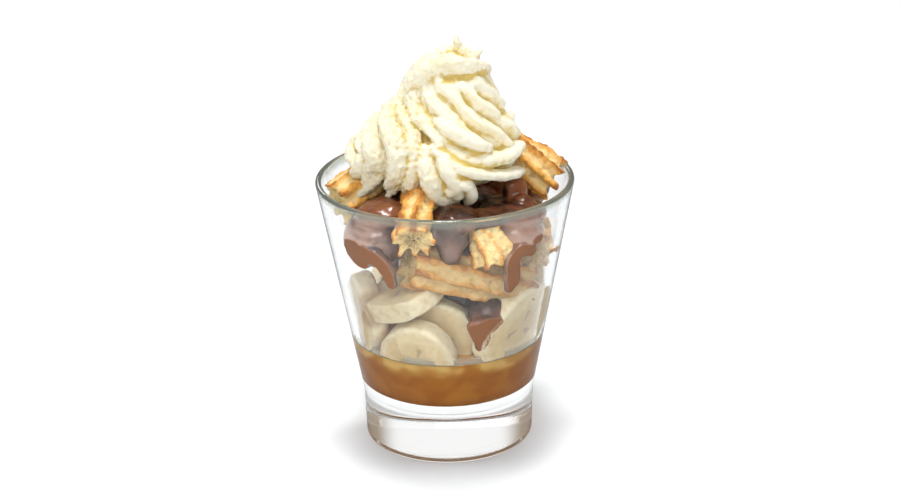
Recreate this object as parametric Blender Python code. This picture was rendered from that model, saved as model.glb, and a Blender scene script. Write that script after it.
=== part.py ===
"""Banana and churro sundae in a stackable glass tumbler, in metres, +Z up.

A thick-bottomed tumbler holds a pool of caramel, slices of banana, pieces of fluted churro and
chocolate sauce, under a piped heap of whipped cream. The origin is the centre of the glass's foot.
Sizes below are in millimetres, and MM turns them into metres. An azimuth is in degrees, from +X
towards +Y, so -90 faces the front, and an elevation is in degrees above the level.
"""

import math

import bmesh
import bpy
from mathutils import Matrix, Vector

MM = 0.001

# Driving dimensions of the glass
GLASS_HEIGHT = 97.0
RIM_RADIUS = 45.0
LIP_RADIUS = 1.1
SHOULDER_RADIUS = 30.4
SHOULDER_HEIGHT = 18.7
FOOT_RADIUS = 29.9
FOOT_CORNER = 1.8
PUNT_RADIUS = 24.5
PUNT_DEPTH = 0.8
FLOOR_HEIGHT = 21.0
BOWL_RADIUS = 27.3
BOWL_CORNER = 6.0
LEDGE_HEIGHT = 39.3
LEDGE_INNER_RADIUS = 30.1
LEDGE_OUTER_RADIUS = 32.0
GLASS_SEGMENTS = 48

# Fit between the pieces
GAP = 0.3
GROWTH_LIMIT = 1.6
CARAMEL_LEVEL = 38.9
CREAM_SEAT = 93.6
ROOM_TOP = 175.0
ROOM_RADIUS = 70.0

# Churro section and ends
CHURRO_RIDGES = 8
CHURRO_STEPS_PER_RIDGE = 3
CHURRO_VALLEY = 0.70
CHURRO_RINGS = 6
CHURRO_END_SCALE = 0.9
CHURRO_TORN_END = 0.9

# Banana slice
BANANA_SIDES = 20
BANANA_EDGE = 1.0
BANANA_THREE_SIDED = 0.025

# Meshes of the cream and the sauce
CREAM_VOXEL = 1.3
CREAM_TRIANGLES = 2500
SAUCE_VOXEL = 1.6
SAUCE_TRIANGLES = 950
ROPE_SIDES = 12
ROPE_RINGS = 10

# Each churro: name, start, end, bow of its middle, twist in degrees, radius
CHURROS = (
    ("churro_rim_left", (-36.5, -10.0, 91.0), (-16.0, 3.0, 100.5), (0.0, 0.0, 1.0), 25, 8.4),
    ("churro_front", (-10.5, -34.0, 86.5), (-8.0, -16.5, 95.5), (0.0, 0.0, 1.0), 15, 7.5),
    ("churro_front_right", (15.0, -29.5, 75.5), (12.3, -25.0, 87.5), (1.5, -0.5, 0.0), -30, 7.2),
    ("churro_long", (-13.0, -27.5, 75.2), (27.5, -13.0, 61.5), (3.0, -4.0, 0.5), 30, 7.9),
    ("churro_side_right", (28.5, -18.5, 75.5), (31.5, 12.0, 73.0), (1.0, 0.0, 0.0), 20, 7.2),
    ("churro_rim_right", (37.5, 0.0, 95.3), (19.5, 2.0, 106.0), (0.0, 0.0, 0.5), 35, 8.2),
    ("churro_back", (-24.0, 21.0, 77.0), (14.0, 27.0, 80.0), (0.0, 3.0, 0.0), 40, 8.4),
    ("churro_rim_back", (14.0, 31.0, 97.5), (5.0, 10.0, 95.0), (0.0, 0.0, 0.5), -20, 8.6),
)

# Each banana slice: name, centre, outward normal, spin in degrees, radius, thickness, oval
BANANAS = (
    ("banana_front_low", (-9.8, -26.2, 41.0), (-0.32, -0.93, -0.16), 20, 13.0, 7.5, 1.0),
    ("banana_front_mid", (-3.6, -18.0, 45.6), (-0.10, -0.97, -0.10), 70, 14.0, 8.0, 1.0),
    ("banana_front_high", (-14.0, -20.0, 61.0), (-0.36, -0.05, 0.93), 40, 13.5, 6.8, 1.05),
    ("banana_right", (22.0, -19.0, 50.0), (0.74, -0.64, -0.18), 28, 12.4, 7.5, 1.42),
    ("banana_left", (-27.6, -9.5, 51.0), (-0.93, -0.32, -0.12), 10, 14.0, 7.0, 1.0),
    ("banana_back_left", (-17.0, 20.5, 46.5), (-0.62, 0.77, -0.12), 50, 14.0, 8.0, 1.0),
    ("banana_back", (8.5, 25.5, 48.0), (0.28, 0.95, -0.14), 0, 14.0, 8.0, 1.0),
    ("banana_back_right", (28.3, 6.5, 51.5), (0.97, 0.22, -0.14), 30, 13.6, 7.5, 1.0),
    ("banana_back_high", (-8.0, 20.0, 64.0), (-0.15, 0.40, 0.90), 80, 13.5, 6.5, 1.0),
)

# Main body of the cream, a twisted star: height, reach of its crests, X of its middle, depth share
SWIRL = (
    (95.0, 10.0, -1.0, 1.0),
    (99.0, 16.0, 1.5, 1.0),
    (104.0, 21.4, 3.6, 1.0),
    (109.0, 22.4, 4.0, 1.0),
    (113.0, 22.4, 4.2, 1.0),
    (118.0, 21.8, 3.6, 1.0),
    (123.0, 20.0, 2.6, 0.94),
    (128.0, 17.9, 1.5, 0.88),
    (132.0, 16.0, 1.2, 0.86),
    (135.0, 14.8, 0.7, 0.86),
    (138.0, 12.0, 0.0, 0.9),
    (140.5, 7.6, -0.5, 1.0),
    (142.0, 3.0, -0.8, 1.0),
)
SWIRL_Y = -2.0
SWIRL_CRESTS = 11
SWIRL_FIRST_CREST = -99.0
SWIRL_CREST_HEIGHT = 113.0
SWIRL_TWIST = 3.0
SWIRL_GROOVE = 5.0
SWIRL_SIDES = 132
SWIRL_STEP = 1.0

# How its grooves change: heights between which they start and fade, share lost at the top, how
# much deeper and shallower they get round it, and the azimuths where they are shallow
GROOVE_START = (103.0, 108.0)
GROOVE_FADE = (127.0, 134.0)
GROOVE_TOP_LOSS = 0.7
GROOVE_UNEVEN = 0.3
GROOVE_UNEVEN_HEIGHT = 7.0
GROOVE_SHALLOW_WIDTH = 28.0
SMOOTH_AZIMUTH = -148.0
SMOOTH_START = (107.0, 112.0)
SMOOTH_LOSS = 0.8
RIGHT_AZIMUTH = 0.0
RIGHT_LOSS = 0.6

# How its ridges wander: degrees, waves round it, height in which a wave moves on by a radian
RIDGE_WANDER = ((3.0, 2, 6.0), (2.5, 5, -4.0))

# Hollows in it: azimuth, height, depth, width in degrees, height of the hollow
SWIRL_DENTS = (
    (-126.0, 115.5, 3.8, 12.0, 4.2),
    (-62.0, 136.3, 4.2, 24.0, 2.0),
    (-75.0, 106.0, 2.5, 30.0, 1.6),
    (0.0, 121.3, 3.2, 32.0, 1.8),
)

# Masses beside and under it, as centre and radii
CREAM_MASSES = {
    "main": ((8.0, -3.0, 109.5), (16.0, 16.8, 14.4)),
    "top": ((2.5, -1.0, 128.5), (11.9, 10.1, 10.1)),
    "left": ((-13.0, -5.0, 108.3), (12.5, 15.0, 13.6)),
    "far": ((-24.6, -6.0, 104.0), (6.3, 8.1, 8.1)),
    "shoulder": ((-10.0, -2.0, 119.0), (10.3, 10.8, 10.3)),
    "skirt": ((-3.0, -3.0, 101.0), (16.0, 15.0, 8.5)),
    "throat": ((-1.0, -14.0, 104.0), (9.5, 9.0, 9.0)),
}

# Each fold of the cream, by what it is: points along its middle and three radii
CREAM_FOLDS = {
    "front ridge": (((-5.5, -9.5, 124.5), (1.0, -16.5, 119.5), (6.5, -19.5, 117.0),
                     (13.5, -20.5, 114.0)), (2.6, 3.8, 2.4)),
    "crest": (((-10.7, -5.5, 128.0), (-5.8, -7.5, 134.3), (2.5, -7.5, 137.8), (10.7, -5.5, 136.8),
               (15.5, 0.5, 134.0)), (2.6, 3.9, 1.4)),
    "top roll": (((-4.8, 1.0, 134.8), (3.0, 2.0, 137.3), (10.0, 1.0, 135.5)), (2.2, 3.3, 2.2)),
    "left strand": (((-17.5, -4.0, 121.5), (-15.5, -16.5, 116.5), (-14.0, -20.0, 108.5),
                     (-16.5, -18.0, 101.0), (-20.0, -17.5, 95.5)), (2.6, 4.8, 1.6)),
    "middle strand": (((-13.5, -11.0, 124.0), (-9.5, -18.5, 114.0), (-9.0, -19.5, 108.0),
                       (-11.0, -13.5, 97.0)), (2.4, 3.2, 2.4)),
    "outer strand": (((-20.5, -4.5, 118.0), (-22.5, -14.0, 113.5), (-22.5, -15.0, 104.0),
                      (-29.5, -13.5, 95.5)), (2.4, 4.2, 1.6)),
    "far strand": (((-24.3, -4.5, 112.6), (-27.6, -6.5, 108.5), (-28.1, -10.0, 104.0)),
                   (2.4, 3.1, 2.4)),
    "far ridge": (((-27.5, -4.5, 112.0), (-26.0, -11.0, 111.5), (-24.5, -15.0, 110.0)),
                  (2.2, 2.6, 2.2)),
    "far tip": (((-26.5, -12.5, 107.5), (-28.5, -13.0, 104.0), (-30.5, -9.5, 99.5)),
                (2.6, 2.4, 1.6)),
    "lower lip": (((0.5, -18.0, 113.5), (11.5, -20.5, 109.5), (18.0, -17.0, 109.0),
                   (24.0, -7.5, 110.0)), (2.6, 3.4, 2.4)),
    "finger": (((-2.5, -20.0, 113.5), (5.0, -23.5, 108.0), (18.0, -20.0, 104.0),
                (25.0, -8.0, 101.0)), (2.2, 2.9, 2.0)),
    "hanging bulb": (((-5.0, -18.5, 112.0), (-3.0, -18.5, 103.0), (1.0, -15.5, 97.0)),
                     (3.6, 5.5, 4.4)),
    "bulb side": (((-1.0, -21.5, 112.0), (3.0, -22.5, 104.0), (4.0, -20.0, 100.0)),
                  (2.6, 4.2, 3.6)),
    "curl": (((3.0, -23.0, 101.0), (5.5, -24.5, 103.0), (8.0, -24.0, 101.5), (8.0, -20.5, 97.0)),
             (3.0, 2.8, 2.0)),
    "peak": (((4.0, 0.0, 136.0), (4.8, 0.0, 141.0), (5.6, 0.0, 143.6), (4.4, 0.0, 145.4)),
             (5.0, 2.0, 1.5)),
    "spur": (((6.0, -2.0, 136.0), (10.5, -1.0, 139.0), (12.5, 0.0, 141.0)), (4.0, 2.4, 1.4)),
}

# Strands round the back of the left mass: first azimuth, step, count, elevations, turn, radii
BACK_STRANDS = (76, 30, 3, (56, 30, 2, -26), 30, (2.6, 3.9, 2.6))
BACK_STRAND_DEPTH = 1.1

# Sauce: masses between the pieces, as centre and radii
SAUCE_MASSES = (
    ((0.0, 2.0, 62.0), (17.0, 14.0, 22.0)),
    ((0.0, 0.0, 84.0), (22.0, 20.0, 9.0)),
    ((-23.0, -19.2, 83.0), (11.0, 10.6, 11.0)),
    ((-21.0, -22.0, 91.8), (9.5, 9.0, 4.4)),
    ((-13.0, -14.0, 92.5), (9.0, 8.0, 3.0)),
    ((12.5, -25.0, 90.3), (7.5, 6.5, 2.8)),
    ((3.0, -27.0, 91.0), (9.0, 9.0, 4.4)),
    ((1.5, -31.0, 84.0), (4.6, 5.0, 7.5)),
    ((-3.5, -31.5, 87.5), (3.2, 3.5, 3.6)),
    ((5.0, -30.5, 86.5), (3.0, 3.5, 4.6)),
    ((2.0, -22.0, 84.0), (4.5, 8.0, 7.0)),
    ((23.4, -20.4, 84.5), (9.5, 9.8, 8.6)),
    ((22.0, -18.0, 90.0), (12.0, 12.0, 4.2)),
    ((24.0, -13.0, 95.5), (4.4, 4.0, 5.4)),
    ((26.0, -18.0, 93.0), (4.6, 3.6, 3.2)),
    ((13.0, -23.0, 56.0), (7.0, 8.0, 6.5)),
    ((6.0, -12.0, 58.0), (10.0, 8.0, 7.0)),
    ((-16.0, 24.0, 88.0), (14.0, 10.0, 6.0)),
    ((20.0, 24.0, 87.0), (12.0, 12.0, 7.0)),
)

# Sauce: ropes that lie on the glass, as (azimuth, height) points and three radii
SAUCE_TRAILS = (
    (((-148, 80), (-138, 82), (-127, 78), (-117, 70)), (5.0, 4.2, 2.4)),
    (((-37, 79), (-44, 84), (-52, 82), (-54, 74), (-55, 67)), (3.0, 3.2, 3.6)),
    (((-54, 56), (-62, 55), (-67, 50), (-69, 45)), (3.0, 5.4, 2.0)),
    (((128, 86), (120, 80), (116, 70)), (4.6, 4.0, 2.6)),
    (((30, 86), (36, 78), (34, 68)), (4.6, 4.0, 2.6)),
)


def clear_scene():
    """Removes every object that the file starts with."""
    for obj in list(bpy.data.objects):
        bpy.data.objects.remove(obj, do_unlink=True)


def material(name, colour, roughness, metallic=0.0):
    """A Principled material with the given base colour."""
    made = bpy.data.materials.new(name)
    made.use_nodes = True
    shader = made.node_tree.nodes["Principled BSDF"]
    shader.inputs["Base Color"].default_value = (*colour, 1.0)
    shader.inputs["Roughness"].default_value = roughness
    shader.inputs["Metallic"].default_value = metallic
    return made


def object_from(bm, name):
    """Links a bmesh, built in millimetres, as an object in metres."""
    bmesh.ops.recalc_face_normals(bm, faces=bm.faces)
    bmesh.ops.scale(bm, vec=(MM, MM, MM), verts=bm.verts)
    mesh = bpy.data.meshes.new(name)
    bm.to_mesh(mesh)
    bm.free()
    obj = bpy.data.objects.new(name, mesh)
    bpy.context.scene.collection.objects.link(obj)
    return obj


def bake(obj):
    """Replaces an object's mesh by the one that its modifiers make."""
    bpy.context.view_layer.update()
    evaluated = obj.evaluated_get(bpy.context.evaluated_depsgraph_get())
    made = bpy.data.meshes.new_from_object(evaluated)
    old = obj.data
    obj.modifiers.clear()
    obj.data = made
    bpy.data.meshes.remove(old)


def combine(obj, other, operation, solver="EXACT"):
    """Applies one Boolean to an object."""
    step = obj.modifiers.new("combine", "BOOLEAN")
    step.operation = operation
    step.solver = solver
    step.object = other
    bake(obj)


def grown(obj):
    """A copy of an object whose surface lies GAP further out, also beside its sharp corners."""
    copy = bpy.data.objects.new(obj.name + "_grown", obj.data.copy())
    bpy.context.scene.collection.objects.link(copy)
    bm = bmesh.new()
    bm.from_mesh(copy.data)
    bm.normal_update()
    moves = [vertex.normal * min(vertex.calc_shell_factor(), GROWTH_LIMIT) for vertex in bm.verts]
    for vertex, move in zip(bm.verts, moves):
        vertex.co += move * GAP * MM
    bm.to_mesh(copy.data)
    bm.free()
    return copy


def remove(obj):
    """Removes a helper object."""
    bpy.data.objects.remove(obj, do_unlink=True)


def bounds_touch(first, second):
    """Whether two objects' boxes overlap."""
    boxes = []
    for obj in (first, second):
        corners = [vertex.co for vertex in obj.data.vertices]
        boxes.append([(min(c[i] for c in corners), max(c[i] for c in corners)) for i in range(3)])
    return all(a[0] < b[1] and b[0] < a[1] for a, b in zip(*boxes))


def cut_round(obj, neighbours):
    """Cuts an object back to GAP from each neighbour that its box meets.

    EXACT loses the torn ends of some churros here, so these cuts use MANIFOLD.
    """
    for neighbour in neighbours:
        cutter = grown(neighbour)
        if bounds_touch(obj, cutter):
            combine(obj, cutter, "DIFFERENCE", "MANIFOLD")
        remove(cutter)


def keep_largest_body(obj):
    """Drops the scraps that a cut leaves, and welds its slivers."""
    bm = bmesh.new()
    bm.from_mesh(obj.data)
    bmesh.ops.remove_doubles(bm, verts=bm.verts, dist=0.00002)
    bmesh.ops.dissolve_degenerate(bm, edges=bm.edges, dist=0.00001)
    unseen = set(bm.verts)
    bodies = []
    while unseen:
        body = {unseen.pop()}
        edge = list(body)
        while edge:
            for link in edge.pop().link_edges:
                for vertex in link.verts:
                    if vertex in unseen:
                        unseen.remove(vertex)
                        body.add(vertex)
                        edge.append(vertex)
        bodies.append(body)
    bodies.sort(key=len)
    for body in bodies[:-1]:
        bmesh.ops.delete(bm, geom=list(body), context="VERTS")
    bm.to_mesh(obj.data)
    bm.free()


def finish(obj, mat, sharp_angle=40):
    """Gives a finished solid its material and its smooth shading."""
    obj.data.materials.clear()
    obj.data.materials.append(mat)
    obj.data.shade_smooth()
    obj.data.set_sharp_from_angle(angle=math.radians(sharp_angle))


def arc(centre, radius, start, end, steps):
    """Points of an arc in the (radius, height) plane, angles in degrees."""
    angles = [math.radians(start + (end - start) * i / steps) for i in range(steps + 1)]
    return [(centre[0] + radius * math.cos(a), centre[1] + radius * math.sin(a)) for a in angles]


def turned(name, outline):
    """A solid of revolution about Z from (radius, height) points that start and end on the axis."""
    bm = bmesh.new()
    points = [bm.verts.new((radius, 0.0, height)) for radius, height in outline]
    edges = [bm.edges.new(pair) for pair in zip(points, points[1:])]
    bmesh.ops.spin(bm, geom=points + edges, cent=(0, 0, 0), axis=(0, 0, 1),
                   angle=math.tau, steps=GLASS_SEGMENTS, use_merge=False)
    bmesh.ops.remove_doubles(bm, verts=bm.verts, dist=0.001)
    return object_from(bm, name)


def inner_radius(height):
    """Radius of the glass's inner wall above the ledge."""
    share = (height - LEDGE_HEIGHT) / (GLASS_HEIGHT - LIP_RADIUS - LEDGE_HEIGHT)
    return LEDGE_OUTER_RADIUS + share * (RIM_RADIUS - 2 * LIP_RADIUS - LEDGE_OUTER_RADIUS)


def bowl_outline(inset):
    """Inner outline of the glass, from the floor's centre to the lip, moved in by inset."""
    corner = (BOWL_RADIUS - BOWL_CORNER, FLOOR_HEIGHT + BOWL_CORNER)
    lip_height = GLASS_HEIGHT - LIP_RADIUS
    return [
        (0.0, FLOOR_HEIGHT + inset),
        *arc(corner, BOWL_CORNER - inset, -90, -10, 3),
        (LEDGE_INNER_RADIUS - inset, LEDGE_HEIGHT - 0.6 + inset),
        (LEDGE_INNER_RADIUS + 0.6 - inset, LEDGE_HEIGHT + inset),
        (LEDGE_OUTER_RADIUS - inset, LEDGE_HEIGHT + 0.7 + inset),
        (inner_radius(lip_height) - inset, lip_height),
    ]


def tumbler():
    """The stackable glass: solid base, shoulder, flared wall, inner ledge and rounded lip."""
    lip_centre = (RIM_RADIUS - LIP_RADIUS, GLASS_HEIGHT - LIP_RADIUS)
    foot_centre = (FOOT_RADIUS - FOOT_CORNER, FOOT_CORNER)
    outline = [
        *bowl_outline(0.0)[:-1],
        *arc(lip_centre, LIP_RADIUS, 180, 0, 4),
        (SHOULDER_RADIUS + 0.3, SHOULDER_HEIGHT + 1.0),
        (SHOULDER_RADIUS, SHOULDER_HEIGHT - 0.6),
        *arc(foot_centre, FOOT_CORNER, 0, -90, 3),
        (PUNT_RADIUS + 0.9, 0.0),
        (PUNT_RADIUS, PUNT_DEPTH * 0.7),
        (PUNT_RADIUS * 0.6, PUNT_DEPTH),
        (0.0, PUNT_DEPTH),
    ]
    return turned("glass", outline)


def contents_room(name, floor=None):
    """The space inside the glass, GAP clear of it, and above its rim, from a floor up."""
    outline = bowl_outline(GAP)
    if floor is not None:
        outline = [(0.0, floor), (inner_radius(floor) - GAP, floor), outline[-1]]
    outline += [
        (inner_radius(GLASS_HEIGHT) - GAP, GLASS_HEIGHT + GAP),
        (ROOM_RADIUS, GLASS_HEIGHT + GAP),
        (ROOM_RADIUS, ROOM_TOP),
        (0.0, ROOM_TOP),
    ]
    return turned(name, outline)


def caramel_pool():
    """The caramel from the glass's floor to its level, before the bananas are cut out."""
    outline = [point for point in bowl_outline(GAP) if point[1] < CARAMEL_LEVEL]
    side = LEDGE_INNER_RADIUS - GAP
    return turned("caramel", [*outline, (side, CARAMEL_LEVEL), (0.0, CARAMEL_LEVEL)])


def frame_along(direction):
    """Two unit vectors across a direction."""
    direction = direction.normalized()
    side = direction.cross(Vector((0, 0, 1)))
    if side.length < 0.2:
        side = direction.cross(Vector((0, 1, 0)))
    side.normalize()
    return side, direction.cross(side)


def bridge_rings(bm, rings):
    """Joins rings of equal count with quads and closes both ends with fans."""
    count = len(rings[0])
    for low, high in zip(rings, rings[1:]):
        for i in range(count):
            j = (i + 1) % count
            bm.faces.new((low[i], low[j], high[j], high[i]))
    for ring in (rings[0], rings[-1]):
        hub = bm.verts.new(sum((vertex.co for vertex in ring), Vector()) / count)
        for i in range(count):
            bm.faces.new((ring[i], ring[(i + 1) % count], hub))


def churro(name, start, end, bow, twist, radius):
    """A piece of fluted churro along a bowed line, with torn ends."""
    start, end, bow = Vector(start), Vector(end), Vector(bow)
    axis = (end - start).normalized()
    side, up = frame_along(axis)
    sides = CHURRO_RIDGES * CHURRO_STEPS_PER_RIDGE
    bm = bmesh.new()
    rings = []
    for k in range(CHURRO_RINGS):
        t = k / (CHURRO_RINGS - 1)
        at_end = k in (0, CHURRO_RINGS - 1)
        centre = start.lerp(end, t) + bow * math.sin(math.pi * t)
        swell = (1.0 + 0.04 * math.sin(5.0 * t + radius)) * (CHURRO_END_SCALE if at_end else 1.0)
        ring = []
        for i in range(sides):
            angle = math.tau * i / sides
            ridge = 1.0 if i % CHURRO_STEPS_PER_RIDGE == 0 else CHURRO_VALLEY
            turn = angle + math.radians(twist) * t
            torn = CHURRO_TORN_END * math.sin(3.0 * angle + radius) if at_end else 0.0
            reach = (side * math.cos(turn) + up * math.sin(turn)) * radius * swell * ridge
            ring.append(bm.verts.new(centre + reach + axis * torn))
        rings.append(ring)
    bridge_rings(bm, rings)
    return object_from(bm, name)


def banana(name, centre, normal, spin, radius, thickness, oval):
    """A slice of peeled banana: a faintly three-sided disc with softened edges."""
    centre, normal = Vector(centre), Vector(normal).normalized()
    turn = Matrix.Rotation(math.radians(spin), 3, normal)
    side, up = (turn @ axis for axis in frame_along(normal))
    half = thickness / 2
    bm = bmesh.new()
    rings = []
    for depth, inset in ((-half, BANANA_EDGE), (-half + BANANA_EDGE, 0.0),
                         (half - BANANA_EDGE, 0.0), (half, BANANA_EDGE)):
        ring = []
        for i in range(BANANA_SIDES):
            angle = math.tau * i / BANANA_SIDES
            reach = radius * (1.0 + BANANA_THREE_SIDED * math.cos(3 * angle)) - inset
            across = side * math.cos(angle) * oval + up * math.sin(angle)
            ring.append(bm.verts.new(centre + normal * depth + across * reach))
        rings.append(ring)
    bridge_rings(bm, rings)
    return object_from(bm, name)


def smooth_path(points, count):
    """Evenly spread points of a Catmull-Rom curve through the given ones."""
    points = [Vector(point) for point in points]
    points = [2 * points[0] - points[1], *points, 2 * points[-1] - points[-2]]
    spans = len(points) - 3
    found = []
    for k in range(count):
        t = k / (count - 1) * spans
        i = min(int(t), spans - 1)
        t -= i
        a, b, c, d = points[i:i + 4]
        bend = (2 * a - 5 * b + 4 * c - d) * t * t + (3 * b - a - 3 * c + d) * t ** 3
        found.append(0.5 * (2 * b + (c - a) * t + bend))
    return found


def rope(bm, points, radii):
    """A round-ended rope through the points, its radius going through the three given."""
    path = smooth_path(points, ROPE_RINGS)
    side, _ = frame_along(path[1] - path[0])
    rings = []
    for k, centre in enumerate(path):
        t = k / (ROPE_RINGS - 1)
        radius = radii[0] * (1 - t) * (1 - 2 * t) + 4 * radii[1] * t * (1 - t) + radii[2] * t * (2 * t - 1)
        ahead = (path[min(k + 1, ROPE_RINGS - 1)] - path[max(k - 1, 0)]).normalized()
        side = (side - ahead * side.dot(ahead)).normalized()
        up = ahead.cross(side)
        cap = [(1.0, 0.0)]
        if k == 0:
            cap = [(0.4, -0.92), (0.8, -0.6), (1.0, 0.0)]
        if k == ROPE_RINGS - 1:
            cap = [(1.0, 0.0), (0.8, 0.6), (0.4, 0.92)]
        for across, along in cap:
            middle = centre + ahead * radius * along
            angles = [math.tau * i / ROPE_SIDES for i in range(ROPE_SIDES)]
            rings.append([
                bm.verts.new(middle + (side * math.cos(a) + up * math.sin(a)) * radius * across)
                for a in angles])
    bridge_rings(bm, rings)


def ball(bm, centre, radii):
    """An ellipsoid."""
    place = Matrix.Translation(Vector(centre)) @ Matrix.Diagonal((*radii, 1.0))
    bmesh.ops.create_uvsphere(bm, u_segments=24, v_segments=14, radius=1.0, matrix=place)


def soft_step(value, low, high):
    """A value turned into a soft step from 0 at low to 1 at high."""
    t = min(1.0, max(0.0, (value - low) / (high - low)))
    return t * t * (3 - 2 * t)


def bell(offset, width):
    """A soft bump, 1 where the offset is 0."""
    return math.exp(-(offset / width) ** 2)


def swirl_section(height):
    """Reach of the crests, X of the middle and depth share of the swirl at a height."""
    for low, high in zip(SWIRL, SWIRL[1:]):
        if height <= high[0]:
            share = (height - low[0]) / (high[0] - low[0])
            return [a + (b - a) * share for a, b in zip(low[1:], high[1:])]
    return SWIRL[-1][1:]


def angle_from(azimuth, other):
    """The angle from one azimuth to another, from -180 to 180 degrees."""
    return (azimuth - other + 180) % 360 - 180


def groove_depth(azimuth, height):
    """Depth of the swirl's grooves, which fade at its foot, its top and two sides."""
    smooth = bell(angle_from(azimuth, SMOOTH_AZIMUTH), GROOVE_SHALLOW_WIDTH)
    smooth *= SMOOTH_LOSS * soft_step(height, *SMOOTH_START)
    right = RIGHT_LOSS * bell(angle_from(azimuth, RIGHT_AZIMUTH), GROOVE_SHALLOW_WIDTH)
    round_it = math.sin(3 * math.radians(azimuth) + 1.0)
    uneven = 1.0 + GROOVE_UNEVEN * round_it * math.sin(height / GROOVE_UNEVEN_HEIGHT)
    fade = soft_step(height, *GROOVE_START)
    fade *= 1.0 - GROOVE_TOP_LOSS * soft_step(height, *GROOVE_FADE)
    return SWIRL_GROOVE * (1.0 - smooth) * (1.0 - right) * uneven * fade


def swirl_point(azimuth, height):
    """A point of the twisted star."""
    reach, middle, depth = swirl_section(height)
    a = math.radians(azimuth)
    turn = azimuth - SWIRL_FIRST_CREST + SWIRL_TWIST * (height - SWIRL_CREST_HEIGHT)
    for degrees, waves, rise in RIDGE_WANDER:
        turn += degrees * math.sin(waves * a + height / rise)
    half = math.radians(turn) * SWIRL_CRESTS / 2
    crest = (1.0 - abs(math.sin(half)) + abs(math.cos(half))) / 2
    reach -= groove_depth(azimuth, height) * (1.0 - crest)
    for where, level, hollow, wide, tall in SWIRL_DENTS:
        reach -= hollow * bell(angle_from(azimuth, where), wide) * bell(height - level, tall)
    return Vector((middle + reach * math.cos(a), SWIRL_Y + reach * depth * math.sin(a), height))


def swirl(bm):
    """The main body of the cream."""
    rings = []
    count = int((SWIRL[-1][0] - SWIRL[0][0]) / SWIRL_STEP)
    for k in range(count + 1):
        height = SWIRL[0][0] + k * SWIRL_STEP
        azimuths = [-180 + 360 * i / SWIRL_SIDES for i in range(SWIRL_SIDES)]
        rings.append([bm.verts.new(swirl_point(azimuth, height)) for azimuth in azimuths])
    bridge_rings(bm, rings)


def on_mass(mass, azimuth, elevation, depth):
    """A point of the cream heap, depth under the surface of one of its masses."""
    centre, radii = CREAM_MASSES[mass]
    a, e = math.radians(azimuth), math.radians(elevation)
    direction = (math.cos(a) * math.cos(e), math.sin(a) * math.cos(e), math.sin(e))
    return Vector(c + (r - depth) * d for c, r, d in zip(centre, radii, direction))


def on_wall(azimuth, height, depth):
    """A point at a distance inside the glass's inner wall."""
    a, reach = math.radians(azimuth), inner_radius(height) - depth
    return Vector((reach * math.cos(a), reach * math.sin(a), height))


def melted(name, bm, voxel, triangles):
    """Fuses overlapping shapes into one smooth body of about the given triangle count."""
    obj = object_from(bm, name)
    fuse = obj.modifiers.new("fuse", "REMESH")
    fuse.mode = "VOXEL"
    fuse.voxel_size = voxel * MM
    soften = obj.modifiers.new("soften", "SMOOTH")
    soften.factor = 0.5
    soften.iterations = 1
    bake(obj)
    obj.data.calc_loop_triangles()
    thin = obj.modifiers.new("thin", "DECIMATE")
    thin.ratio = min(1.0, triangles / len(obj.data.loop_triangles))
    bake(obj)
    return obj


def cream_heap():
    """The piped cream: its swirl, the masses beside it, their folds and the pulled peak."""
    bm = bmesh.new()
    swirl(bm)
    for centre, radii in CREAM_MASSES.values():
        ball(bm, centre, radii)
    for path, radii in CREAM_FOLDS.values():
        rope(bm, path, radii)
    first, step, count, elevations, turn, radii = BACK_STRANDS
    for k in range(count):
        crest = [(first + step * k + turn * i / 3, e) for i, e in enumerate(elevations)]
        rope(bm, [on_mass("left", *place, BACK_STRAND_DEPTH) for place in crest], radii)
    return melted("whipped_cream", bm, CREAM_VOXEL, CREAM_TRIANGLES)


def sauce():
    """The chocolate sauce: masses between the pieces and trails down the glass."""
    bm = bmesh.new()
    for centre, radii in SAUCE_MASSES:
        ball(bm, centre, radii)
    for trail, radii in SAUCE_TRAILS:
        rope(bm, [on_wall(*place, 0.4 * radii[1]) for place in trail], radii)
    return melted("chocolate_sauce", bm, SAUCE_VOXEL, SAUCE_TRIANGLES)


def main():
    """Builds every piece, each one cut clear of those before it."""
    clear_scene()
    finish(tumbler(), material("glass", (0.90, 0.93, 0.91), 0.05))
    room = contents_room("room")
    above_sauce = contents_room("room_above_sauce", CREAM_SEAT)
    placed = []

    for spec in CHURROS:
        placed.append(churro(*spec))
    for spec in BANANAS:
        placed.append(banana(*spec))
    for i, obj in enumerate(placed):
        combine(obj, room, "INTERSECT")
        cut_round(obj, placed[:i])
        keep_largest_body(obj)
        fried = obj.name.startswith("churro")
        colour = (0.78, 0.46, 0.17) if fried else (0.85, 0.76, 0.52)
        finish(obj, material(obj.name, colour, 0.7 if fried else 0.45))

    cream = cream_heap()
    combine(cream, above_sauce, "INTERSECT")
    cut_round(cream, placed)
    keep_largest_body(cream)
    finish(cream, material("whipped_cream", (0.95, 0.92, 0.80), 0.5), 60)

    caramel = caramel_pool()
    cut_round(caramel, placed)
    keep_largest_body(caramel)
    finish(caramel, material("caramel", (0.55, 0.28, 0.06), 0.15))

    chocolate = sauce()
    combine(chocolate, room, "INTERSECT")
    cut_round(chocolate, [*placed, cream, caramel])
    keep_largest_body(chocolate)
    finish(chocolate, material("chocolate_sauce", (0.16, 0.06, 0.03), 0.12), 60)

    for helper in (room, above_sauce):
        remove(helper)


if __name__ == "__main__":
    main()
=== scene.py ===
"""Looks of a banana and churro sundae in a stackable glass tumbler.

Every size is in millimetres until a mesh is made, with the origin at the centre of the glass's
foot, +Z up and the front towards -Y. A pixel is a place in the 900 x 500 photograph.
"""

import logging
import math
from dataclasses import dataclass, field
from enum import Enum
from typing import Iterable, Sequence

import bmesh
import bpy
import numpy as np
from mathutils import Matrix, Vector, noise


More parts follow.
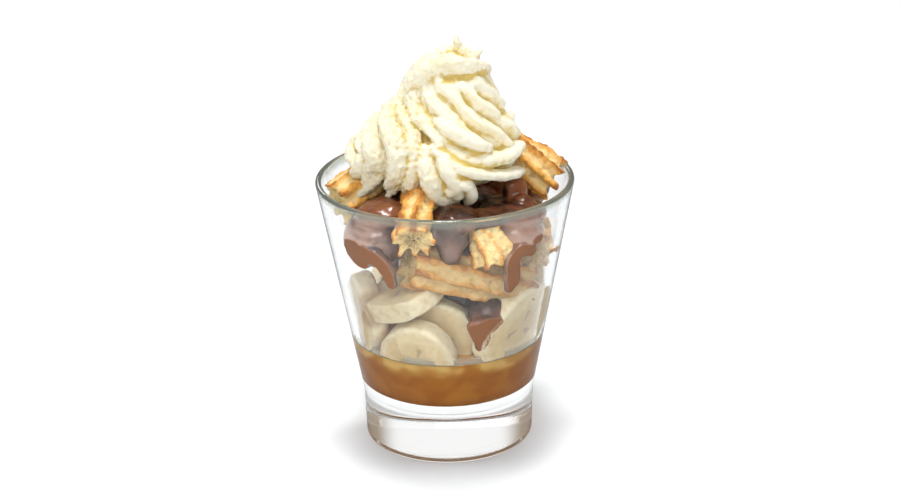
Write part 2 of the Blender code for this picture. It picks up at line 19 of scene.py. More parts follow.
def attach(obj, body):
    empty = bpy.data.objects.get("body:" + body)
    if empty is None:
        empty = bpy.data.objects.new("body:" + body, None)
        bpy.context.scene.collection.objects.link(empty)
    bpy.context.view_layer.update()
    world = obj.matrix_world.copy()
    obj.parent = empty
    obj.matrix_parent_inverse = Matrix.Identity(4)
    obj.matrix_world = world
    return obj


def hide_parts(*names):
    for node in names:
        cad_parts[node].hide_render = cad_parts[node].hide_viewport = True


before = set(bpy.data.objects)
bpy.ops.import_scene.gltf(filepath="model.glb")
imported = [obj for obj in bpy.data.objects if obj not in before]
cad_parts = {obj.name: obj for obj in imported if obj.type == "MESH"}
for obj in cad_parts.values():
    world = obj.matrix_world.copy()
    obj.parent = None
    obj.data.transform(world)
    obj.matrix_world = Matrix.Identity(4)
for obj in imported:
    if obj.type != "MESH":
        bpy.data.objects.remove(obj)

MM = 0.001
LOG = logging.getLogger("sundae")

Triple = tuple[float, float, float]
Pixel = tuple[float, float]


class Slot(Enum):
    """Material slots of the record."""

    GLASS = "glass"
    CARAMEL = "caramel"
    BANANA = "banana"
    CHURRO = "churro"
    CHOCOLATE = "chocolate"
    CREAM = "cream"


@dataclass(frozen=True)
class PhotoView:
    """The camera that the photograph was matched to.

    Attributes:
        distance: From its target to its eye.
        elevation: How far it looks down, in degrees.
        focal_pixels: Its focal length in pixels.
        roll: How far it leans, in degrees.
        target: What it looks at.
        width: Width of the photograph in pixels.
        height: Height of the photograph in pixels.
        sensor_width: Width of the film that Blender's lens is given for.
        clip_start: Nearest distance that it sees, in metres.
    """

    distance: float = 734.5
    elevation: float = 21.65
    focal_pixels: float = 2085.9
    roll: float = -1.053
    target: Triple = (1.363, 0.0, 69.06)
    width: int = 900
    height: int = 500
    sensor_width: float = 36.0
    clip_start: float = 0.01

    def eye(self) -> Vector:
        """Where the camera stands."""
        e = math.radians(self.elevation)
        return Vector(self.target) + Vector((0.0, -math.cos(e), math.sin(e))) * self.distance

    def axes(self) -> tuple[Vector, Vector, Vector]:
        """Works out how the picture lies in the scene.

        Returns:
            The picture's right, up and forward directions.
        """
        forward = (Vector(self.target) - self.eye()).normalized()
        level = forward.cross(Vector((0, 0, 1))).normalized()
        above = level.cross(forward)
        r = math.radians(self.roll)
        right = level * math.cos(r) + above * math.sin(r)
        up = -level * math.sin(r) + above * math.cos(r)
        return right, up, forward

    def ray(self, pixel: Pixel) -> tuple[Vector, Vector]:
        """The line of sight through a pixel.

        Args:
            pixel: Place in the photograph.

        Returns:
            Its start and its unit direction.
        """
        right, up, forward = self.axes()
        across = (pixel[0] - self.width / 2) / self.focal_pixels
        down = (pixel[1] - self.height / 2) / self.focal_pixels
        return self.eye(), (forward + right * across - up * down).normalized()

    def pixels(self, points: np.ndarray) -> np.ndarray:
        """Projects points onto the photograph.

        Args:
            points: Points in millimetres, one a row.

        Returns:
            Their pixels, one a row.
        """
        right, up, forward = (np.array(axis) for axis in self.axes())
        off = points - np.array(self.eye())
        scale = self.focal_pixels / (off @ forward)
        return np.stack((self.width / 2 + off @ right * scale, self.height / 2 - off @ up * scale), 1)

    def on_lobes(self, pixel: Pixel, lobes: Iterable[tuple[Triple, Triple]], sink: float) -> Vector:
        """The first point that a pixel meets on a group of ellipsoids.

        Args:
            pixel: Place in the photograph.
            lobes: Centre and radii of each ellipsoid.
            sink: How far under their surface the point lies.

        Returns:
            The point met, or the nearest one where the line of sight misses them all.
        """
        eye, direction = self.ray(pixel)
        found: list[tuple[float, Vector]] = []
        missed: list[tuple[float, Vector]] = []
        for centre, radii in lobes:
            scale = Vector(radii) - Vector((sink, sink, sink))
            start = Vector((eye[i] - centre[i]) / scale[i] for i in range(3))
            step = Vector(direction[i] / scale[i] for i in range(3))
            a, b, c = step.dot(step), start.dot(step), start.dot(start) - 1.0
            reach = b * b - a * c
            if reach >= 0.0:
                found.append(((-b - math.sqrt(reach)) / a, direction))
            else:
                near = start - step * (b / a)
                place = Vector(centre[i] + near[i] / near.length * scale[i] for i in range(3))
                missed.append((near.length, place))
        if found:
            return eye + direction * min(item[0] for item in found)
        return min(missed, key=lambda item: item[0])[1]

    def camera(self) -> bpy.types.Object:
        """Makes the camera, in metres.

        Returns:
            The camera object, not linked to a collection yet.
        """
        right, up, forward = self.axes()
        data = bpy.data.cameras.new("camera")
        data.sensor_width = self.sensor_width
        data.lens = self.focal_pixels * data.sensor_width / self.width
        data.clip_start = self.clip_start
        obj = bpy.data.objects.new("camera", data)
        place = Matrix((right, up, -forward)).transposed().to_4x4()
        place.translation = self.eye() * MM
        obj.matrix_world = place
        return obj


VIEW = PhotoView()


def curve_through(points: Sequence[Sequence[float]], count: int) -> np.ndarray:
    """Evenly spread points of a smooth curve.

    Args:
        points: Points that the curve goes through.
        count: How many points to give back.

    Returns:
        The points, one a row.
    """
    p = np.array(points, float)
    p = np.vstack((2 * p[0] - p[1], p, 2 * p[-1] - p[-2]))
    spans = len(p) - 3
    t = np.linspace(0.0, spans, count)
    i = np.minimum(t.astype(int), spans - 1)
    t = (t - i)[:, None]
    a, b, c, d = p[i], p[i + 1], p[i + 2], p[i + 3]
    bend = (2 * a - 5 * b + 4 * c - d) * t * t + (3 * b - a - 3 * c + d) * t ** 3
    return 0.5 * (2 * b + (c - a) * t + bend)


def waviness(points: np.ndarray, size: float, octaves: int = 2, seed: float = 0.0) -> np.ndarray:
    """Soft random values, from about -1 to 1, at some points.

    Args:
        points: Points in millimetres.
        size: Size of the largest waves in millimetres.
        octaves: How many finer layers there are.
        seed: Moves the pattern.

    Returns:
        One value a point.
    """
    shift = Vector((seed * 17.3, seed * 5.1, seed * 9.7))
    return np.array([noise.fractal(Vector(p) / size + shift, 0.9, 2.0, octaves) for p in points])


def turned(outline: Iterable[Pixel], sides: int) -> list[np.ndarray]:
    """Turns an outline round the Z axis.

    Args:
        outline: Radius and height of each ring.
        sides: Points round each.

    Returns:
        The rings.
    """
    turn = np.linspace(0, math.tau, sides, endpoint=False)
    circle = np.stack((np.cos(turn), np.sin(turn)), 1)
    return [np.column_stack((circle * radius, np.full(sides, height))) for radius, height in outline]


def square_to(axis: Vector) -> tuple[Vector, Vector]:
    """Finds two directions at right angles to an axis and to each other.

    Args:
        axis: The axis, with a length of 1.

    Returns:
        The two directions, the first one level unless the axis is upright.
    """
    side = axis.cross(Vector((0, 0, 1)))
    if side.length < 0.2:
        side = axis.cross(Vector((0, 1, 0)))
    side.normalize()
    return side, axis.cross(side)


class Sketch:
    """Closed shapes gathered in millimetres before they become one object in metres.

    Attributes:
        BALL_SIDES: Points round a ball.
        BALL_RINGS: Rings over a ball's height.
        BALL_END: Elevation of its last ring, in radians.
        CAP_TURNS: Elevations of the rings that round a rope's end, in radians.
        PINCH_LOSS: How much thinner a pinched rope is, as a share of the pinch.
        PINCH_RISE: How much higher its crest is, as a share of the pinch.
        PINCH_POWER: How narrow its crest is.
        HEAP_MIDDLE: X of the middle that pinched crests point away from.
        HEAP_LEVEL: Height of that middle at the ground, and how much it rises a millimetre.
    """

    BALL_SIDES = 32
    BALL_RINGS = 18
    BALL_END = 1.5
    CAP_TURNS = (1.4, 1.05, 0.7, 0.35)
    PINCH_LOSS = 0.35
    PINCH_RISE = 1.6
    PINCH_POWER = 4
    HEAP_MIDDLE = 2.0
    HEAP_LEVEL = (40.0, 0.6)

    def __init__(self) -> None:
        """Starts empty."""
        self.points: list[np.ndarray] = []
        self.faces: list[tuple[int, ...]] = []
        self.count = 0

    def tube(self, rings: Sequence[np.ndarray]) -> None:
        """Adds a closed tube with a fan at both ends.

        Args:
            rings: The rings that it goes through, all with as many points.
        """
        sides = len(rings[0])
        stack = np.vstack([*rings, rings[0].mean(0), rings[-1].mean(0)])
        base, last = self.count, (len(rings) - 1) * sides
        for k in range(len(rings) - 1):
            low = base + k * sides
            for i in range(sides):
                j = (i + 1) % sides
                self.faces.append((low + i, low + j, low + sides + j, low + sides + i))
        hub = base + len(rings) * sides
        for i in range(sides):
            j = (i + 1) % sides
            self.faces.append((base + j, base + i, hub))
            self.faces.append((base + last + i, base + last + j, hub + 1))
        self.points.append(stack)
        self.count += len(stack)

    def ball(self, centre: Sequence[float], radii: Sequence[float]) -> None:
        """Adds an ellipsoid.

        Args:
            centre: Its middle.
            radii: Its radii along X, Y and Z.
        """
        turn = np.linspace(0, math.tau, self.BALL_SIDES, endpoint=False)
        rings = []
        for e in np.linspace(-self.BALL_END, self.BALL_END, self.BALL_RINGS):
            ring = np.stack((np.cos(turn) * math.cos(e), np.sin(turn) * math.cos(e),
                             np.full(self.BALL_SIDES, math.sin(e))), 1)
            rings.append(ring * np.array(radii) + np.array(centre))
        self.tube(rings)

    def rope(self, points: Sequence[Sequence[float]], radii: Sequence[float],
             sides: int = 24, count: int = 40, pinch: float = 0.0) -> None:
        """Adds a round-ended rope.

        Args:
            points: Points that its middle goes through.
            radii: Radii, spread evenly from its start to its end.
            sides: Points round it.
            count: Rings along it.
            pinch: Share of the radius by which its crest, away from the heap's middle, stands out.
        """
        path = curve_through(points, count)
        width = curve_through([(r, 0.0) for r in radii], count)[:, 0]
        ahead = np.gradient(path, axis=0)
        ahead /= np.linalg.norm(ahead, axis=1)[:, None]
        side = np.cross(ahead[0], (0.3, 0.2, 1.0))
        turn = np.linspace(0, math.tau, sides, endpoint=False)
        crest = np.maximum(np.cos(turn), 0.0)[:, None] ** self.PINCH_POWER
        bulge = 1.0 - self.PINCH_LOSS * pinch + self.PINCH_RISE * pinch * crest
        base, rise = self.HEAP_LEVEL
        rings = []
        for k in range(count):
            if pinch:
                side = path[k] - np.array((self.HEAP_MIDDLE, 0.0, base + rise * path[k][2]))
            side = side - ahead[k] * side.dot(ahead[k])
            side /= np.linalg.norm(side)
            up = np.cross(ahead[k], side)
            caps = [(1.0, 0.0)]
            if k == 0:
                caps = [(math.cos(a), -math.sin(a)) for a in self.CAP_TURNS] + caps
            if k == count - 1:
                caps += [(math.cos(a), math.sin(a)) for a in self.CAP_TURNS[::-1]]
            around = (np.cos(turn)[:, None] * side + np.sin(turn)[:, None] * up) * bulge
            for across, along in caps:
                rings.append(path[k] + ahead[k] * width[k] * along + around * width[k] * across)
        self.tube(rings)

    def build(self, name: str) -> bpy.types.Object:
        """Links what was gathered as one smooth-shaded object in metres.

        Args:
            name: The object's name.

        Returns:
            The object.
        """
        mesh = bpy.data.meshes.new(name)
        mesh.from_pydata((np.vstack(self.points) * MM).tolist(), [], self.faces)
        mesh.shade_smooth()
        obj = bpy.data.objects.new(name, mesh)
        bpy.context.scene.collection.objects.link(obj)
        return obj


def places(obj: bpy.types.Object) -> np.ndarray:
    """Reads an object's vertices.

    Args:
        obj: The object.

    Returns:
        Their places in millimetres, one a row.
    """
    found = np.empty(len(obj.data.vertices) * 3, np.float32)
    obj.data.vertices.foreach_get("co", found)
    return found.reshape(-1, 3).astype(float) / MM


def move_to(obj: bpy.types.Object, points: np.ndarray) -> None:
    """Moves an object's vertices to new places in millimetres."""
    obj.data.vertices.foreach_set("co", (points * MM).astype(np.float32).ravel())
    obj.data.update()


def normals(obj: bpy.types.Object) -> np.ndarray:
    """Reads an object's vertex normals.

    Args:
        obj: The object.

    Returns:
        The normals, one a row.
    """
    found = np.empty(len(obj.data.vertices) * 3, np.float32)
    obj.data.vertex_normals.foreach_get("vector", found)
    return found.reshape(-1, 3).astype(float)


def fuse(obj: bpy.types.Object, voxel: float, rounds: int) -> None:
    """Melts an object's overlapping shapes into one skin.

    Args:
        obj: The object, whose mesh is replaced.
        voxel: Size of the skin's faces in millimetres.
        rounds: How often the skin is smoothed.
    """
    melt = obj.modifiers.new("melt", "REMESH")
    melt.mode = "VOXEL"
    melt.voxel_size = voxel * MM
    soften = obj.modifiers.new("soften", "SMOOTH")
    soften.iterations = rounds
    bpy.context.view_layer.update()
    evaluated = obj.evaluated_get(bpy.context.evaluated_depsgraph_get())
    made = bpy.data.meshes.new_from_object(evaluated)
    obj.modifiers.clear()
    obj.data = made
    made.shade_smooth()


def hollowness(obj: bpy.types.Object, rounds: int) -> np.ndarray:
    """How far each vertex lies inside the smoothed shape round it, in millimetres.

    Args:
        obj: The object.
        rounds: How often its shape is smoothed, which sets the size of the folds found.

    Returns:
        One value a vertex, above zero in a crease and below zero on a crest.
    """
    ends = np.empty(len(obj.data.edges) * 2, np.int32)
    obj.data.edges.foreach_get("vertices", ends)
    a, b = ends.reshape(-1, 2).T
    start = places(obj)
    links = np.bincount(a, minlength=len(start)) + np.bincount(b, minlength=len(start))
    soft = start.copy()
    for _ in range(rounds):
        total = np.zeros_like(soft)
        for axis in range(3):
            total[:, axis] = np.bincount(a, soft[b, axis], len(soft))
            total[:, axis] += np.bincount(b, soft[a, axis], len(soft))
        soft = total / links[:, None]
    return ((soft - start) * normals(obj)).sum(1)


def paint(obj: bpy.types.Object, name: str, values: np.ndarray) -> None:
    """Keeps one number a vertex for the finish to read."""
    layer = obj.data.attributes.new(name, "FLOAT", "POINT")
    layer.data.foreach_set("value", values.astype(np.float32))


def ease(values: np.ndarray, low: float, high: float) -> np.ndarray:
    """Values turned into a soft step from 0 at low to 1 at high."""
    t = np.clip((values - low) / (high - low), 0.0, 1.0)
    return t * t * (3 - 2 * t)


@dataclass(frozen=True)
class Pattern:
    """Random clouds or specks, turned into a soft step.

    Attributes:
        scale: Waves a metre.
        detail: How many finer layers it has.
        low: Value at which the step starts.
        high: Value at which it ends.
        start: What it gives below low.
        end: What it gives above high.
        warp: How far it is warped.
    """

    scale: float
    detail: float
    low: float
    high: float
    start: float = 0.0
    end: float = 1.0
    warp: float = 0.0


class NodeWork:
    """A node tree, with short calls for the nodes that the finishes and the room share."""

    def __init__(self, tree: bpy.types.NodeTree) -> None:
        """Takes the tree that the nodes go to."""
        self.nodes = tree.nodes
        self.links = tree.links

    def node(self, kind: str, inputs: dict, **settings: object) -> bpy.types.Node:
        """Adds a node.

        Args:
            kind: Its type, without the ShaderNode before it.
            inputs: Plain values or sockets, by input name or number.
            **settings: The node's own properties.

        Returns:
            The node.
        """
        made = self.nodes.new("ShaderNode" + kind)
        for name, value in settings.items():
            setattr(made, name, value)
        for name, value in inputs.items():
            if isinstance(value, bpy.types.NodeSocket):
                self.links.new(value, made.inputs[name])
            else:
                made.inputs[name].default_value = value
        return made

    def calc(self, operation: str, first: object, second: object = 0.0) -> bpy.types.NodeSocket:
        """One sum."""
        return self.node("Math", {0: first, 1: second}, operation=operation).outputs[0]

    def times(self, first: object, second: object) -> bpy.types.NodeSocket:
        """The product of two values."""
        return self.calc("MULTIPLY", first, second)

    def ramp(self, value: bpy.types.NodeSocket, low: float, high: float,
             start: float = 0.0, end: float = 1.0) -> bpy.types.NodeSocket:
        """Turns a value into a soft step.

        Args:
            value: The value.
            low: Where the step starts.
            high: Where it ends.
            start: What it gives at low.
            end: What it gives at high.

        Returns:
            The step.
        """
        made = self.node("MapRange", {"Value": value, "From Min": low, "From Max": high,
                                      "To Min": start, "To Max": end},
                         interpolation_type="SMOOTHSTEP")
        return made.outputs["Result"]

    def mix(self, share: object, first: object, second: object) -> bpy.types.NodeSocket:
        """Mixes two colours.

        Args:
            share: Share of the second one, as a socket or a number.
            first: The first one, as a socket or a triple.
            second: The second one, as a socket or a triple.

        Returns:
            The mixed colour.
        """
        made = self.node("Mix", {}, data_type="RGBA")
        for number, value in ((0, share), (6, first), (7, second)):
            if isinstance(value, bpy.types.NodeSocket):
                self.links.new(value, made.inputs[number])
            elif number:
                made.inputs[number].default_value = (*value, 1.0)
            else:
                made.inputs[number].default_value = value
        return made.outputs[2]


class Paintwork(NodeWork):
    """A material's node tree round its Principled shader."""

    def __init__(self, name: str) -> None:
        """Starts a material.

        Args:
            name: Its name.
        """
        self.material = bpy.data.materials.new(name)
        self.material.use_nodes = True
        super().__init__(self.material.node_tree)
        self.shader = self.nodes["Principled BSDF"]

    def plain(self, **sockets: object) -> None:
        """Sets plain values on the shader's own sockets, named with underscores for spaces."""
        for name, value in sockets.items():
            self.shader.inputs[name.replace("_", " ")].default_value = value

    def soft(self, share: float, reaches: Triple) -> None:
        """Lets light into the surface, as far as reaches for red, green and blue, in millimetres."""
        self.plain(Subsurface_Weight=share, Subsurface_Scale=MM, Subsurface_Radius=reaches)

    def noise(self, scale: float, detail: float = 3.0, warp: float = 0.0) -> bpy.types.NodeSocket:
        """Makes a random pattern.

        Args:
            scale: Waves a metre.
            detail: How many finer layers it has.
            warp: How far it is warped.

        Returns:
            Values from 0 to 1.
        """
        place = self.node("TexCoord", {}).outputs["Object"]
        made = self.node("TexNoise", {"Vector": place, "Scale": scale, "Detail": detail,
                                      "Distortion": warp})
        return made.outputs["Fac"]

    def pattern(self, look: Pattern) -> bpy.types.NodeSocket:
        """A random pattern turned into a soft step."""
        wild = self.noise(look.scale, look.detail, look.warp)
        return self.ramp(wild, look.low, look.high, look.start, look.end)

    def kept(self, name: str) -> bpy.types.NodeSocket:
        """The number that the mesh keeps under a name."""
        return self.node("Attribute", {}, attribute_name=name).outputs["Fac"]

    def kept_vector(self, name: str) -> bpy.types.NodeSocket:
        """The vector that the mesh keeps under a name."""
        return self.node("Attribute", {}, attribute_name=name).outputs["Vector"]

    def connect(self, name: str, value: bpy.types.NodeSocket) -> None:
        """Links a value to one of the shader's sockets."""
        self.links.new(value, self.shader.inputs[name])

    def bump(self, height: bpy.types.NodeSocket, depth: float, strength: float = 1.0) -> None:
        """Roughens the surface.

        Args:
            height: Height from 0 to 1.
            depth: What 1 stands for, in millimetres.
            strength: Share of it that shows.
        """
        made = self.node("Bump", {"Height": height, "Distance": depth * MM, "Strength": strength})
        self.connect("Normal", made.outputs["Normal"])


@dataclass(frozen=True)
class ClearGlass:
    """Clear glass with a faint green cast that lets light through to the floor.

    Attributes:
        tint: Colour of its body.
        edge: Colour of its lip.
        ledge: Colour of its ledge and foot ring.
        cast: Colour of the light that it lets through to the floor.
        ior: How strongly it bends light.
        lip_clearness: Share of the light that passes its lip.
        ledge_loss: Share of the light that its ledge keeps back.
    """

    tint: Triple = (0.98, 0.99, 0.983)
    edge: Triple = (0.55, 0.59, 0.50)
    ledge: Triple = (0.50, 0.51, 0.41)
    cast: Triple = (0.93, 0.945, 0.935)
    ior: float = 1.5
    lip_clearness: float = 0.8
    ledge_loss: float = 0.55

    def make(self) -> bpy.types.Material:
        """Mixes the finish.

        Returns:
            The material.
        """
        work = Paintwork("clear_glass")
        work.plain(Roughness=0.0, IOR=self.ior)
        edge, ledge = work.kept("edge"), work.kept("ledge")
        tint = work.mix(edge, self.tint, self.edge)
        work.connect("Base Color", work.mix(ledge, tint, self.ledge))
        clear = work.calc("SUBTRACT", work.ramp(edge, 0.0, 1.0, 1.0, self.lip_clearness),
                          work.times(ledge, self.ledge_loss))
        work.connect("Transmission Weight", clear)
        path = work.node("LightPath", {})
        shadow = work.node("BsdfTransparent", {"Color": (*self.cast, 1.0)})
        both = work.node("MixShader", {0: path.outputs["Is Shadow Ray"], 1: work.shader.outputs[0],
                                       2: shadow.outputs[0]})
        work.links.new(both.outputs[0], work.nodes["Material Output"].inputs["Surface"])
        return work.material


@dataclass(frozen=True)
class WhippedCream:
    """Airy cream, warm white on its crests, with butter yellow painted shade in its creases.

    Attributes:
        crest: Colour of its crests.
        crease: Colour of the painted shade in its creases, the cream's own yellow darkened.
        creased: Hollowness at which the painted crease shade starts and at which it is deepest.
        crease_share: How much of that painted shade the deepest crease shows.
        specks: Yellow specks where the cream is grained.
        clouds: Yellow clouds all over it.
        pores: Pores a metre where it is grained.
    """

    crest: Triple = (0.95, 0.905, 0.745)
    crease: Triple = (0.76, 0.575, 0.165)
    creased: tuple[float, float] = (-0.1, 1.3)
    crease_share: float = 0.9
    specks: Pattern = Pattern(700.0, 2.0, 0.35, 0.75, 0.0, 0.35)
    clouds: Pattern = Pattern(75.0, 2.0, 0.4, 0.7, 0.0, 0.16)
    pores: float = 1500.0

    def make(self) -> bpy.types.Material:
        """Mixes the finish.

        Returns:
            The material.
        """
        work = Paintwork("whipped_cream")
        work.plain(Roughness=0.55, Specular_IOR_Level=0.35)
        work.soft(0.25, (2.2, 1.6, 0.9))
        grain = work.kept("grain")
        # Painted shade: deeper creases mix towards the darker crease colour.
        depth = work.ramp(work.kept("crease"), *self.creased)
        share = work.calc("ADD", work.times(depth, self.crease_share),
                          work.times(work.pattern(self.specks), grain))
        share = work.calc("ADD", share, work.pattern(self.clouds))
        work.connect("Base Color", work.mix(share, self.crest, self.crease))
        work.bump(work.times(work.noise(self.pores), grain), 0.35, 0.8)
        return work.material


@dataclass(frozen=True)
class ChocolateSauce:
    """Dark glossy chocolate, milk brown where pressed flat on the glass, with painted glare behind it.

    Attributes:
        pool: Colour of its dark places.
        milky: Colour of its light places.
        near: Colour of the painted glare, a light mauve, on what lies close behind the glass.
        smear: Colour of what is pressed on the glass.
        darker_smear: Colour of its clouds.
        lit: Range of the random pattern in which dark turns to light.
        dark_share: How far a painted dark place, which is painted shade, moves that pattern.
        clouds: Clouds in what is pressed on the glass.
        glare: Patches of that painted glare.
        gloss: Roughness of steep and of level places.
        pressed_roughness: Roughness of what is pressed on the glass.
    """

    pool: Triple = (0.034, 0.009, 0.004)
    milky: Triple = (0.25, 0.08, 0.028)
    near: Triple = (0.47, 0.275, 0.205)
    smear: Triple = (0.36, 0.155, 0.07)
    darker_smear: Triple = (0.324, 0.1395, 0.063)
    lit: tuple[float, float] = (0.38, 0.66)
    dark_share: float = 0.4
    clouds: Pattern = Pattern(90.0, 3.0, 0.3, 0.7)
    glare: Pattern = Pattern(130.0, 3.0, 0.3, 0.62, 0.25, 1.0, 0.8)
    gloss: tuple[float, float] = (0.14, 0.25)
    pressed_roughness: float = 0.9

    def make(self) -> bpy.types.Material:
        """Mixes the finish.

        Returns:
            The material.
        """
        work = Paintwork("chocolate_sauce")
        work.soft(0.08, (1.2, 0.5, 0.25))
        # Painted shade: the painted dark places push the sauce towards its dark colour.
        lit = work.calc("SUBTRACT", work.noise(75.0, 3.0, 0.5),
                        work.times(work.kept("dark"), self.dark_share))
        pool = work.mix(work.ramp(lit, *self.lit), self.pool, self.milky)
        # Painted glare: light mauve patches over sauce close behind the glass.
        glare = work.times(work.kept("painted_glare"), work.pattern(self.glare))
        pool = work.mix(glare, pool, self.near)
        smear = work.mix(work.pattern(self.clouds), self.smear, self.darker_smear)
        pressed = work.kept("pressed")
        work.connect("Base Color", work.mix(pressed, pool, smear))
        gloss = work.ramp(work.kept("upward"), 0.0, 1.0, *self.gloss)
        dull = work.ramp(pressed, 0.0, 1.0, 0.0, self.pressed_roughness)
        work.connect("Roughness", work.calc("MAXIMUM", gloss, dull))
        work.connect("Specular IOR Level", work.ramp(pressed, 0.0, 1.0, 0.6, 0.0))
        work.bump(work.noise(230.0, 2.0), 0.3, 0.5)
        return work.material


@dataclass(frozen=True)
class Caramel:
    """Amber caramel that clouds to yellow where banana lies close behind it.

    Attributes:
        deep: Colour where it is thick.
        light: Colour of its clouds and its upper edge.
        milky: Colour in front of banana.
        clouds: Its clouds.
    """

    deep: Triple = (0.36, 0.115, 0.006)
    light: Triple = (0.52, 0.21, 0.02)
    milky: Triple = (0.80, 0.53, 0.16)
    clouds: Pattern = Pattern(120.0, 4.0, 0.35, 0.7, 0.0, 0.5, 0.6)

    def make(self) -> bpy.types.Material:
        """Mixes the finish.

        Returns:
            The material.
        """
        work = Paintwork("caramel")
        work.plain(Roughness=0.3, Specular_IOR_Level=0.0)
        work.soft(0.2, (3.0, 1.5, 0.5))
        light = work.calc("MAXIMUM", work.pattern(self.clouds), work.kept("edge"))
        body = work.mix(light, self.deep, self.light)
        work.connect("Base Color", work.mix(work.kept("banana_near"), body, self.milky))
        return work.material


@dataclass(frozen=True)
class BananaFlesh:
    """Banana, with three seed marks, a fibrous ring and a pale rim.

    Distances across the slice are shares of its radius.

    Attributes:
        flesh: Colour of the slice.
        heart: Colour of its middle and its fibres.
        rim: Colour of its rim.
        seed: Colour of its seed marks.
        syrup_and_shade: Brown where it lies on another slice, for juice and for painted shade between
            them.
        arms: How near to its middle line each of the three seed arms starts and is full.
        bend: How far the arms are bent.
        seeds_start: Between which distances the seed marks start.
        seeds_end: Between which distances they end, from the far one.
        cut: Between which shares of half its thickness its cut faces start.
        heart_fade: Between which distances its middle fades in.
        rim_start: Between which distances the rim starts.
        heart_share: How strong the middle is.
        seed_share: How strong the seed marks are.
        syrup_and_shade_share: How strong that brown is.
        fibres: Its fibres.
    """

    flesh: Triple = (0.80, 0.655, 0.40)
    heart: Triple = (0.62, 0.45, 0.22)
    rim: Triple = (0.87, 0.77, 0.55)
    seed: Triple = (0.26, 0.16, 0.08)
    syrup_and_shade: Triple = (0.40, 0.22, 0.09)
    arms: tuple[float, float] = (0.72, 0.99)
    bend: float = 1.6
    seeds_start: tuple[float, float] = (0.10, 0.2)
    seeds_end: tuple[float, float] = (0.46, 0.36)
    cut: tuple[float, float] = (0.80, 0.90)
    heart_fade: tuple[float, float] = (0.66, 0.34)
    rim_start: tuple[float, float] = (0.80, 0.95)
    heart_share: float = 0.75
    seed_share: float = 0.55
    syrup_and_shade_share: float = 0.8
    fibres: Pattern = Pattern(420.0, 5.0, 0.45, 0.7, 0.0, 0.4)

    def make(self) -> bpy.types.Material:
        """Mixes the finish.

        Returns:
            The material.
        """
        work = Paintwork("banana_flesh")
        work.plain(Roughness=0.42)
        work.soft(0.25, (2.4, 1.6, 0.8))
        x, y, along = work.node("SeparateXYZ", {0: work.kept_vector("slice")}).outputs
        reach = work.calc("SQRT", work.calc("ADD", work.calc("POWER", x, 2.0),
                                            work.calc("POWER", y, 2.0)))
        bent = work.calc("ADD", work.times(work.calc("ARCTAN2", y, x), 3.0),
                         work.times(work.noise(230.0), self.bend))
        arms = work.ramp(work.calc("COSINE", bent), *self.arms)
        ring = work.times(work.ramp(reach, *self.seeds_start), work.ramp(reach, *self.seeds_end))
        face = work.ramp(work.calc("ABSOLUTE", along), *self.cut)
        heart = work.times(work.ramp(reach, *self.heart_fade, 0.0, self.heart_share), face)
        body = work.mix(heart, self.flesh, self.heart)
        body = work.mix(work.ramp(reach, *self.rim_start), body, self.rim)
        body = work.mix(work.pattern(self.fibres), body, self.heart)
        seeds = work.times(work.times(arms, ring), face)
        body = work.mix(work.times(seeds, self.seed_share), body, self.seed)
        # Juice and painted shade: brown where the slice lies on another one.
        seam = work.times(work.kept("seam"), self.syrup_and_shade_share)
        work.connect("Base Color", work.mix(seam, body, self.syrup_and_shade))
        work.bump(work.noise(500.0, 4.0), 0.4, 0.7)
        return work.material


@dataclass(frozen=True)
class FriedDough:
    """Churro dough, pale in its valleys, golden on its ridges and browned at its torn ends.

    Attributes:
        crumb: Colour of its valleys and torn ends' middles.
        golden: Colour of its ridges.
        browned: Colour of its most fried places.
        soaked_and_shaded: Brown where sauce has seeped in, also painted shade on pieces that lie in
            shadow.
        turned_golden: How fried it is where golden starts and is full.
        turned_brown: How fried it is where brown starts and is full.
        patches: Patches that are fried more or less.
        wet: Patches where it is stronger or weaker.
        speck: Range of the crumbs' pattern that is browned, and how much.
    """

    crumb: Triple = (0.93, 0.69, 0.31)
    golden: Triple = (0.86, 0.43, 0.085)
    browned: Triple = (0.44, 0.16, 0.03)
    soaked_and_shaded: Triple = (0.34, 0.19, 0.085)
    turned_golden: tuple[float, float] = (0.25, 0.75)
    turned_brown: tuple[float, float] = (0.80, 1.25)
    patches: Pattern = Pattern(160.0, 4.0, 0.3, 0.75, -0.25, 0.35)
    wet: Pattern = Pattern(110.0, 2.0, 0.2, 0.7, 0.6, 1.0)
    speck: tuple[float, float, float] = (0.36, 0.5, 0.3)

    def make(self) -> bpy.types.Material:
        """Mixes the finish.

        Returns:
            The material.
        """
        work = Paintwork("fried_dough")
        work.plain(Roughness=0.6, Specular_IOR_Level=0.4)
        work.soft(0.12, (2.0, 1.1, 0.5))
        fried = work.calc("ADD", work.kept("fried"), work.pattern(self.patches))
        body = work.mix(work.ramp(fried, *self.turned_golden), self.crumb, self.golden)
        body = work.mix(work.ramp(fried, *self.turned_brown), body, self.browned)
        # Seeped sauce and painted shade: browner on pieces that lie in shadow.
        body = work.mix(work.times(work.kept("soaked_and_shaded"), work.pattern(self.wet)), body, self.soaked_and_shaded)
        crumbs = work.noise(420.0, 5.0, 0.3)
        work.connect("Base Color", work.mix(work.ramp(crumbs, *self.speck, 0.0), body, self.browned))
        work.bump(crumbs, 1.0, 0.8)
        return work.material


